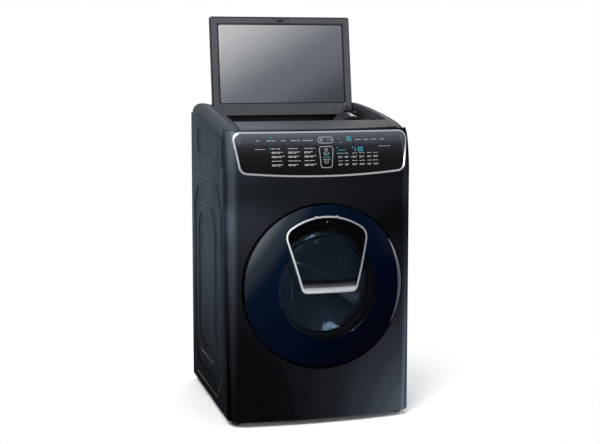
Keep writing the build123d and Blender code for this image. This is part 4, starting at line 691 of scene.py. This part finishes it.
class WASHER_OT_console_print(Operator):
    """Add the printed bars of the console, as thin ink on its face"""
    bl_idname = "washer.console_print"
    bl_label = "Console print"

    def execute(self, context):
        high = context.scene.washer_sizes.bar_height
        lines = [(x, TOP_LEFT_Z, width, high) for x, width in TOP_LEFT]
        lines += [(x - width / 2, TOP_RIGHT_Z, width, high) for x, width in TOP_RIGHT]
        lines += [(x, z, width, high * share) for x, z, width, share in SINGLE_LINES]
        lines += [(KEY_X - width / 2, z, width, high * KEY_LINE_HIGH) for z, width in KEY_LINES]
        for left, widths in LEFT_COLUMNS:
            for (z, count), width in zip(LEFT_ROWS, widths):
                lines += [(left, line_z, width * (1 - LEFT_TAPER * row), high)
                          for row, line_z in stacked(z, count, high)]
        for middle, width in RIGHT_COLUMNS:
            for z, count in RIGHT_ROWS:
                lines += [(middle - width / 2, line_z, width * (1 - RIGHT_TAPER * row),
                           high * RIGHT_HIGH) for row, line_z in stacked(z, count, high)]
        bars = [ink(left + middle, z, length, height)
                for left, z, width, height in lines for middle, length in words(width)]
        settle(joined(bars), "console_print", "cabinet", "print_grey")
        return {"FINISHED"}


class WASHER_OT_console_lamps(Operator):
    """Add the lit digits and the small lamps of the console"""
    bl_idname = "washer.console_lamps"
    bl_label = "Console lamps"

    def execute(self, context):
        tall = context.scene.washer_sizes.digit_height
        wide = tall * DIGIT_WIDE
        thick = tall * SEGMENT_THICK
        level = (wide * SEGMENT_LONG, thick)
        upright = (thick, tall / 2 * SEGMENT_LONG)
        spots = {"a": (0, tall / 2, level), "g": (0, 0, level), "d": (0, -tall / 2, level),
                 "b": (wide / 2, tall / 4, upright), "c": (wide / 2, -tall / 4, upright),
                 "e": (-wide / 2, -tall / 4, upright), "f": (-wide / 2, tall / 4, upright)}
        lamps = []
        for text, x, z in DIGITS:
            for index, digit in enumerate(text):
                middle = x + index * wide * DIGIT_STEP
                lamps += [ink(middle + dx, z + dz, *size)
                          for dx, dz, size in (spots[name] for name in SEGMENTS[digit])]
        lamps += [ink(x, z, LAMP_DOT, LAMP_DOT) for x, z in LAMP_DOTS]
        lamps += [ink(x, z, length, LAMP_LINE_HIGH) for x, z, length in LAMP_LINES]
        settle(joined(lamps), "console_lamps", "cabinet", "lamp_teal")
        return {"FINISHED"}


class WASHER_OT_console_icons(Operator):
    """Add the ring marks of the two keys"""
    bl_idname = "washer.console_icons"
    bl_label = "Key marks"

    def execute(self, context):
        marks = []
        for x, z, radius in KEY_MARKS:
            ring = ring_piece(radius, MARK_WIRE, MARK_SIDES, (1, 1, MARK_FLAT))
            marks.append(place(ring, standing("console_fascia", x, z, MARK_LIFT)))
            marks.append(ink(x, z + radius, TICK_WIDE, radius, TICK_LIFT))
        settle(joined(marks), "console_icons", "cabinet", "print_grey")
        return {"FINISHED"}


# Finishes on the CAD nodes, one operator for each group

class Dressing:
    """The common part of the operators that give CAD nodes their finishes."""

    def execute(self, context):
        for look, names in self.looks.items():
            for name in names.split():
                dress(NODES[name], look)
        return {"FINISHED"}


class WASHER_OT_cabinet_finish(Dressing, Operator):
    """Dress the cabinet, the console and the top"""
    bl_idname = "washer.cabinet_finish"
    bl_label = "Cabinet finish"
    looks = {
        "hairline_black": "front_panel filter_cover console_surround",
        "top_lacquer": "top_cover",
        "side_lacquer": "left_side_panel right_side_panel",
        "zinc_sheet": "rear_panel rear_access_cover base_frame",
        "console_gloss": "console_fascia",
        "bright_trim": "console_trim key_rings",
        "brushed_steel": "panel_screws",
        "black_rubber": "foot_front_left foot_front_right foot_rear_left foot_rear_right",
    }


class WASHER_OT_top_finish(Dressing, Operator):
    """Dress the lid, the deck and the small top washer"""
    bl_idname = "washer.top_finish"
    bl_label = "Top finish"
    looks = {
        "strip_grey": "deck_strip",
        "deck_grey": "tub_deck dispenser_housing",
        "soft_black": "dispenser_drawer",
        "lid_lacquer": "lid_shell",
        "frame_grey": "lid_frame lid_hinge_cover",
        "lid_silver": "lid_inner_panel",
        "upper_steel": "upper_basket",
        "moulded_pale": "upper_tub pulsator",
        "brushed_steel": "hanger_rods lid_hinge_pins",
        "cast_iron": "upper_motor",
    }


class WASHER_OT_door_finish(Dressing, Operator):
    """Dress the front door and the add-item door"""
    bl_idname = "washer.door_finish"
    bl_label = "Door finish"
    looks = {
        "door_navy": "door_cover",
        "smoked_glass": "door_window add_door_glass",
        "clear_glass": "door_bowl",
        "soft_black": "door_ring door_lock",
        "grip_grey": "door_handle",
        "cast_alloy": "door_hinge_arm door_hinge",
        "shield_trim": "add_door_trim",
        "pull_metal": "add_door_handle",
        "gasket_rubber": "door_gasket",
    }


class WASHER_OT_inner_finish(Dressing, Operator):
    """Dress the main washer, the drain and the fittings"""
    bl_idname = "washer.inner_finish"
    bl_label = "Inner finish"
    looks = {
        "basket_steel": "basket",
        "moulded_pale": "lifters tub_front tub_rear drain_pump inlet_valves",
        "cast_alloy": "spider_shaft",
        "brushed_steel": "drum_bearings suspension_springs",
        "cast_iron": "stator rotor counterweights",
        "soft_black": "dampers drain_filter drain_outlet cord_inlet",
        "board_green": "control_board",
    }


# Details of the lid, deck, doors, drum and rear; lengths in metres

# Pieces on the lid's inner side: name, finish, middle from the hinge, size
ON_LID = Matrix.Translation(LID_HINGE) @ Matrix.Rotation(LID_LEAN, 4, "X")
LID_PIECES = [
    ("lid_bracket", "frame_grey", (0.2605, 0.0185, 0.0245), (0.019, 0.0035, 0.031)),
    ("lid_bracket_slot", "soft_black", (0.2605, 0.0164, 0.0245), (0.007, 0.0020, 0.014)),
    ("lid_latch_tongue", "soft_black", (0.0, 0.0214, 0.3705), (0.026, 0.0030, 0.0075))]

# Dark joints round the lid's inner panel, drawn wider at its top and right as painted shade, and
# dark lines along the top and left of the rim: name, middle across and up the lid, width, height
LID_JOINTS_AND_SHADE = [("top", 0.001, 0.3560, 0.518, 0.008), ("foot", 0.0, 0.0425, 0.508, 0.003),
              ("left", -0.2550, 0.2000, 0.006, 0.312), ("right", 0.2560, 0.2000, 0.008, 0.312),
              ("rim_top", 0.0, 0.3822, 0.550, 0.0035),
              ("rim_left", -0.2822, 0.1880, 0.0035, 0.370)]
LID_JOINT_SHADE_Y = 0.0199
LID_JOINT_SHADE_THICK = 0.0006


class WASHER_OT_lid_details(Operator):
    """Add the damper bracket, the latch tongue, the dark panel joints and the rim lines of the lid,
    partly painted shade
    """
    bl_idname = "washer.lid_details"
    bl_label = "Lid details"

    def execute(self, context):
        joints_and_shade = [("lid_joint_shade_" + name, "soft_black", (x, LID_JOINT_SHADE_Y, z),
                   (wide, LID_JOINT_SHADE_THICK, tall)) for name, x, z, wide, tall in LID_JOINTS_AND_SHADE]
        for name, look, middle, size in LID_PIECES + joints_and_shade:
            piece = place(bar_piece(*size), ON_LID @ Matrix.Translation(middle))
            settle(piece, name, "lid", look)
        return {"FINISHED"}


BEAD_R = 0.1755
BEAD_WIRE = 0.0040
BEAD_SIDES = (128, 12)
BEAD_FLAT = 0.6


class WASHER_OT_deck_details(Operator):
    """Add the raised bead round the mouth of the small washer"""
    bl_idname = "washer.deck_details"
    bl_label = "Deck details"

    def execute(self, context):
        bead = ring_piece(BEAD_R, BEAD_WIRE, BEAD_SIDES, (1, 1 / cos(DECK_SLOPE), BEAD_FLAT))
        place(bead, Matrix.Translation(TUB_MIDDLE) @ Matrix.Rotation(DECK_SLOPE, 4, "X"))
        settle(bead, "deck_bead", "cabinet", "deck_grey")
        return {"FINISHED"}


# Star on the drum's rear wall: half sizes and sides of an arm and of the cap, and their places
STAR_ARM = (0.034, 0.007, 0.092)
STAR_ARM_SIDES = 32
STAR_CAP = (0.046, 0.014, 0.046)
STAR_CAP_SIDES = 48
STAR_ARMS = 6
STAR_REACH = 0.126
STAR_SINK = 0.001
DRUM_REAR = 0.2190


def half_ball(sides, size):
    """The front half of a ball that is stretched to a size."""
    deselect()
    bpy.ops.mesh.primitive_uv_sphere_add(segments=sides, ring_count=sides // 2, radius=1)
    return cut_across(stretched(started(), size), STAR_SINK, 1)


class WASHER_OT_drum_star(Operator):
    """Add the pressed star on the rear wall of the drum"""
    bl_idname = "washer.drum_star"
    bl_label = "Drum star"

    def execute(self, context):
        wall = Matrix.Translation((0, DRUM_REAR, DOOR_MIDDLE.z))
        spots = [wall @ Matrix.Rotation(2 * pi * step / STAR_ARMS, 4, "Y")
                 @ Matrix.Translation((0, 0, STAR_REACH)) for step in range(STAR_ARMS)]
        arms = copies(half_ball(STAR_ARM_SIDES, STAR_ARM), spots)
        cap = place(half_ball(STAR_CAP_SIDES, STAR_CAP), wall)
        settle(joined([arms, cap]), "drum_star", "drum", "brushed_steel")
        return {"FINISHED"}


# Inner faces of the two baskets, the run of their rows of holes, and the size of a hole
DRUM_WALL = 0.2555
DRUM_ROWS = (-0.185, 0.200)
UPPER_WALL = 0.1645
UPPER_ROWS = (0.875, 0.970)
HOLE_R = 0.0030
HOLE_SIDES = 12
HOLE_DEEP = 0.0010
HOLE_ROUND = 0.0003


def steps(start, end, pitch):
    """Evenly spaced places between two ends."""
    count = int((end - start) / pitch)
    return [start + (end - start) * index / count for index in range(count + 1)]


def turns(radius, pitch, row):
    """Angles of one row of holes; every other row is set half a step on."""
    count = int(2 * pi * radius / pitch)
    return [2 * pi * (index + row % 2 / 2) / count for index in range(count)]


def drain_hole():
    """One drain hole, drawn as a dark plug with a rounded rim: painted shade where the hole opens.
    """
    deselect()
    bpy.ops.mesh.primitive_cylinder_add(vertices=HOLE_SIDES, radius=HOLE_R, depth=HOLE_DEEP)
    return bevelled(started(), HOLE_ROUND, 1)


class WASHER_OT_drain_holes(Operator):
    """Add the rows of small drain holes in the walls of the two baskets, as dark plugs of painted
    shade
    """
    bl_idname = "washer.drain_holes"
    bl_label = "Drain holes"

    def execute(self, context):
        pitch = context.scene.washer_sizes.hole_pitch
        middle = Matrix.Translation(DOOR_MIDDLE)
        spots = [middle @ Matrix.Rotation(angle, 4, "Y") @ Matrix.Translation((0, y, DRUM_WALL))
                 for row, y in enumerate(steps(*DRUM_ROWS, pitch))
                 for angle in turns(DRUM_WALL, pitch, row)]
        settle(copies(drain_hole(), spots), "drum_drain_holes", "drum",
               "soft_black")
        wall = Matrix.Translation((0, UPPER_WALL, 0)) @ Matrix.Rotation(pi / 2, 4, "X")
        spots = [Matrix.Translation((TUB_MIDDLE.x, TUB_MIDDLE.y, z))
                 @ Matrix.Rotation(angle, 4, "Z") @ wall
                 for row, z in enumerate(steps(*UPPER_ROWS, pitch))
                 for angle in turns(UPPER_WALL, pitch, row)]
        settle(copies(drain_hole(), spots), "upper_drain_holes", "upper_basket",
               "soft_black")
        return {"FINISHED"}


# Sensor eye of the add-item door, its pin and the caps of the two ears that hold the pin
EYE_X, EYE_Z = 0.0014, 0.7364
EYE_WIDE = 0.0034
EYE_THICK = 0.0010
EYE_LIFT = 0.0002
ADD_PIN = Vector((0.0, -0.353687, 0.7525))
EAR_X = 0.038
EAR_CAP_R = 0.0053
EAR_CAP_SIDES = 32
EAR_CAP_WIDE = 0.0082
EAR_CAP_ROUND = 0.0006


class WASHER_OT_door_details(Operator):
    """Add the sensor eye in the glass of the add-item door and the caps of its hinge ears"""
    bl_idname = "washer.door_details"
    bl_label = "Door details"

    def execute(self, context):
        eye = bar_piece(EYE_WIDE, EYE_WIDE, EYE_THICK)
        place(eye, standing("add_door_glass", EYE_X, EYE_Z, EYE_LIFT))
        settle(eye, "add_door_eye", "add_door", "print_grey")
        deselect()
        bpy.ops.mesh.primitive_cylinder_add(vertices=EAR_CAP_SIDES, radius=EAR_CAP_R,
                                            depth=EAR_CAP_WIDE)
        cap = bevelled(started(), EAR_CAP_ROUND, 2)
        turn = Matrix.Rotation(pi / 2, 4, "Y")
        caps = copies(cap, [Matrix.Translation(ADD_PIN + Vector((x, 0, 0))) @ turn
                            for x in (-EAR_X, EAR_X)])
        settle(caps, "add_door_ear_caps", "door", "shield_trim")
        return {"FINISHED"}


# Corners of the two large rings of each side panel, along Y and Z, and the dark line of painted
# shade at their foot
PANEL_RINGS = [
    [(-0.1745, 0.160), (-0.0845, 0.057), (0.3055, 0.057), (0.3805, 0.150),
     (0.3805, 0.760), (0.3055, 0.850), (-0.0845, 0.850), (-0.1745, 0.750)],
    [(-0.0595, 0.240), (-0.0045, 0.166), (0.2305, 0.166), (0.2835, 0.230),
     (0.2835, 0.690), (0.2305, 0.746), (-0.0045, 0.746), (-0.0595, 0.680)]]
PANEL_FACE = 0.3402
PANEL_SHADE_WIDE = 0.005
PANEL_SHADE_THICK = 0.0008


def ring_shade_line(start, end, x):
    """A dark bar of painted shade just outside one edge of a ring."""
    run = Vector((0, end[0] - start[0], end[1] - start[1]))
    line = bar_piece(PANEL_SHADE_THICK, run.length, PANEL_SHADE_WIDE)
    middle = Vector((x, (start[0] + end[0]) / 2, (start[1] + end[1]) / 2))
    turn = Matrix.Rotation(atan2(run.z, run.y), 4, "X")
    outside = Matrix.Translation((0, 0, -PANEL_SHADE_WIDE / 2))
    return place(line, Matrix.Translation(middle) @ turn @ outside)


class WASHER_OT_panel_shade_lines(Operator):
    """Add dark bars of painted shade at the foot of the rings of the side panels"""
    bl_idname = "washer.panel_lines"
    bl_label = "Panel shade lines"

    def execute(self, context):
        for side, x in (("left", -PANEL_FACE), ("right", PANEL_FACE)):
            lines = [ring_shade_line(start, end, x) for ring in PANEL_RINGS
                     for start, end in zip(ring, ring[1:] + ring[:1])]
            settle(joined(lines), side + "_panel_shade_lines", "cabinet",
                   "soft_black")
        return {"FINISHED"}


# Hoods of the louvres, and the grid they stand in
LOUVRE_R = 0.006
LOUVRE_SIDES = 32
LOUVRE_FLAT = 0.8
LOUVRE_ROUND = 0.0015
LOUVRE_BANKS = (-0.16, 0.02)
LOUVRE_LOWEST = 0.80
LOUVRE_STEP = 0.020
LOUVRE_ROWS = 6


class WASHER_OT_louvres(Operator):
    """Add two banks of pressed louvres to the rear panel"""
    bl_idname = "washer.louvres"
    bl_label = "Rear louvres"

    def execute(self, context):
        length = context.scene.washer_sizes.louvre_length
        deselect()
        bpy.ops.mesh.primitive_cylinder_add(vertices=LOUVRE_SIDES, radius=LOUVRE_R, depth=length,
                                            rotation=(0, pi / 2, 0))
        bpy.ops.object.transform_apply(rotation=True)
        hood = stretched(cut_across(started(), 0, -1), (1, LOUVRE_FLAT, 1))
        bevelled(hood, LOUVRE_ROUND, 2)
        spots = [Matrix.Translation((x, REAR_FACE, LOUVRE_LOWEST + row * LOUVRE_STEP))
                 for x in LOUVRE_BANKS for row in range(LOUVRE_ROWS)]
        settle(copies(hood, spots), "rear_louvres", "cabinet", "zinc_sheet")
        return {"FINISHED"}


# Turns on the spigots: name, slot, finish, middles across and up, radius, step and number of turns
SPIGOT_TURNS = [
    ("inlet_threads", "pale_plastic", "moulded_pale", ((0.205, 1.010), (0.265, 1.010)), 0.0132,
     0.0026, 5),
    ("drain_barbs", "dark_plastic", "soft_black", ((-0.235, 0.930),), 0.0150, 0.0045, 3)]
TURN_WIRE = 0.0007
TURN_SIDES = (48, 8)
TURN_WIDE = 1.3
FIRST_TURN = 0.0035


class WASHER_OT_hose_threads(Operator):
    """Add the thread turns of the inlets and the barbs of the drain"""
    bl_idname = "washer.hose_threads"
    bl_label = "Hose threads"

    def execute(self, context):
        facing = Matrix.Rotation(pi / 2, 4, "X")
        for name, slot, look, middles, radius, step, count in SPIGOT_TURNS:
            turn = ring_piece(radius, TURN_WIRE, TURN_SIDES, (1, 1, TURN_WIDE))
            spots = [Matrix.Translation((x, REAR_FACE + FIRST_TURN + row * step, z)) @ facing
                     for x, z in middles for row in range(count)]
            settle(copies(turn, spots), name, "cabinet", look)
        return {"FINISHED"}


# Floor, light and camera

FLOOR_SIZE = 60
FLOOR_ROUGH = 0.8
FLOOR_NEAR = 0.55
FLOOR_FAR = 1.05
SURROUND_LIGHT = 0.55

# Lights: name, spot, aim, size, and the share of the main light's power
LIGHTS = [("key_light", (-1.4, -1.8, 3.0), (0, 0, 0.9), (1.8, 1.8), 1.0),
          ("side_light", (2.6, -1.4, 1.8), (0, 0, 0.7), (0.6, 2.0), 0.35),
          ("back_light", (0.6, 2.6, 2.8), (0, 0, 0.9), (2.0, 1.2), 0.5)]
DRUM_LIGHT = ("drum_light", (0.05, -0.12, 0.70), (-0.02, 0.12, 0.38), (0.10, 0.05))

CAMERA_SPOT = (-1.18599, -4.28380, 1.31103)
CAMERA_TURN = (pi / 2 - 0.10887, 0, -0.26508)
CAMERA_SHIFT = (0.01051, -0.06)
CAMERA_SENSOR = 36.0


def soft_light(name, spot, aim, size, power):
    """A square soft light at a spot, turned to a point."""
    deselect()
    bpy.ops.object.light_add(type="AREA", location=spot)
    lamp = started()
    lamp.name = name
    lamp.data.shape = "RECTANGLE"
    lamp.data.size, lamp.data.size_y = size
    lamp.data.energy = power
    lamp.rotation_euler = (Vector(aim) - Vector(spot)).to_track_quat("-Z", "Y").to_euler()


def looking(tree):
    """One for rays from the camera and for what glossy and clear surfaces show, else nought."""
    path = add(tree, "LightPath").outputs
    shown = maths(tree, "MAXIMUM", path["Is Glossy Ray"], path["Is Transmission Ray"])
    return maths(tree, "MAXIMUM", path["Is Camera Ray"], shown)


def floor_pale(colour):
    """Pale floor that keeps the machine's shadow and turns to plain white away from it."""
    made = Finish("floor_pale", colour, FLOOR_ROUGH)
    far = operate(made.tree, "VectorMath", "LENGTH", made.place).outputs["Value"]
    fade = made.ranged(far, FLOOR_NEAR, FLOOR_FAR)
    white = maths(made.tree, "MULTIPLY", fade, looking(made.tree))
    made.tint(white, colour, (0, 0, 0))
    made.set(Specular_IOR_Level=0.0, Emission_Color=white, Emission_Strength=1.0)
    return made.material


def pale_surround():
    """White all round to the eye, and a weaker light on the machine."""
    world = bpy.data.worlds.new("pale_surround")
    world.use_nodes = True
    tree = world.node_tree
    strength = add(tree, "MapRange", Value=looking(tree), To_Min=SURROUND_LIGHT, To_Max=1.0)
    plug(tree, tree.nodes["Background"], Color=(1.0, 1.0, 1.0, 1.0),
         Strength=strength.outputs["Result"])
    return world


class WASHER_OT_stage(Operator):
    """Set the floor, the soft lights, the pale surround and the camera"""
    bl_idname = "washer.stage"
    bl_label = "Stage"

    def execute(self, context):
        values = context.scene.washer_stage
        deselect()
        bpy.ops.mesh.primitive_plane_add(size=FLOOR_SIZE)
        floor = started()
        floor.name = "floor"
        floor.data.materials.append(floor_pale(values.floor))

        context.scene.world = pale_surround()
        for name, spot, aim, size, share in LIGHTS:
            soft_light(name, spot, aim, size, values.key_power * share)
        soft_light(*DRUM_LIGHT, values.drum_power)

        deselect()
        bpy.ops.object.camera_add(location=CAMERA_SPOT, rotation=CAMERA_TURN)
        camera = started()
        camera.name = "camera"
        camera.data.lens = values.lens
        camera.data.sensor_width = CAMERA_SENSOR
        camera.data.shift_x, camera.data.shift_y = CAMERA_SHIFT
        context.scene.camera = camera
        context.scene.view_settings.view_transform = "Standard"
        return {"FINISHED"}


STEPS = [WASHER_OT_stage, WASHER_OT_cabinet_finish, WASHER_OT_top_finish, WASHER_OT_door_finish,
         WASHER_OT_inner_finish, WASHER_OT_console_print, WASHER_OT_console_lamps,
         WASHER_OT_console_icons, WASHER_OT_lid_details, WASHER_OT_deck_details,
         WASHER_OT_door_details, WASHER_OT_drum_star, WASHER_OT_drain_holes, WASHER_OT_panel_shade_lines,
         WASHER_OT_louvres, WASHER_OT_hose_threads]


class WASHER_PT_sidebar(Panel):
    """The washer's settings and steps"""
    bl_idname = "WASHER_PT_sidebar"
    bl_label = "Washer"
    bl_space_type = "VIEW_3D"
    bl_region_type = "UI"
    bl_category = "Washer"

    def draw(self, context):
        column = self.layout.column()
        scene = context.scene
        for settings in (scene.washer_colours, scene.washer_sizes, scene.washer_stage):
            for name in settings.__annotations__:
                column.prop(settings, name)
        for step in STEPS:
            column.operator(step.bl_idname)


CLASSES = [WasherColours, WasherSizes, WasherStage, *STEPS, WASHER_PT_sidebar]


def register():
    for item in CLASSES:
        bpy.utils.register_class(item)
    bpy.types.Scene.washer_colours = PointerProperty(type=WasherColours)
    bpy.types.Scene.washer_sizes = PointerProperty(type=WasherSizes)
    bpy.types.Scene.washer_stage = PointerProperty(type=WasherStage)


def unregister():
    del bpy.types.Scene.washer_stage
    del bpy.types.Scene.washer_sizes
    del bpy.types.Scene.washer_colours
    for item in reversed(CLASSES):
        bpy.utils.unregister_class(item)


def main():
    register()
    scene = bpy.context.scene
    make_finishes(scene.washer_colours)
    for step in STEPS:
        group_name, name = step.bl_idname.split(".")
        getattr(getattr(bpy.ops, group_name), name)()


if __name__ == "__main__":
    main()
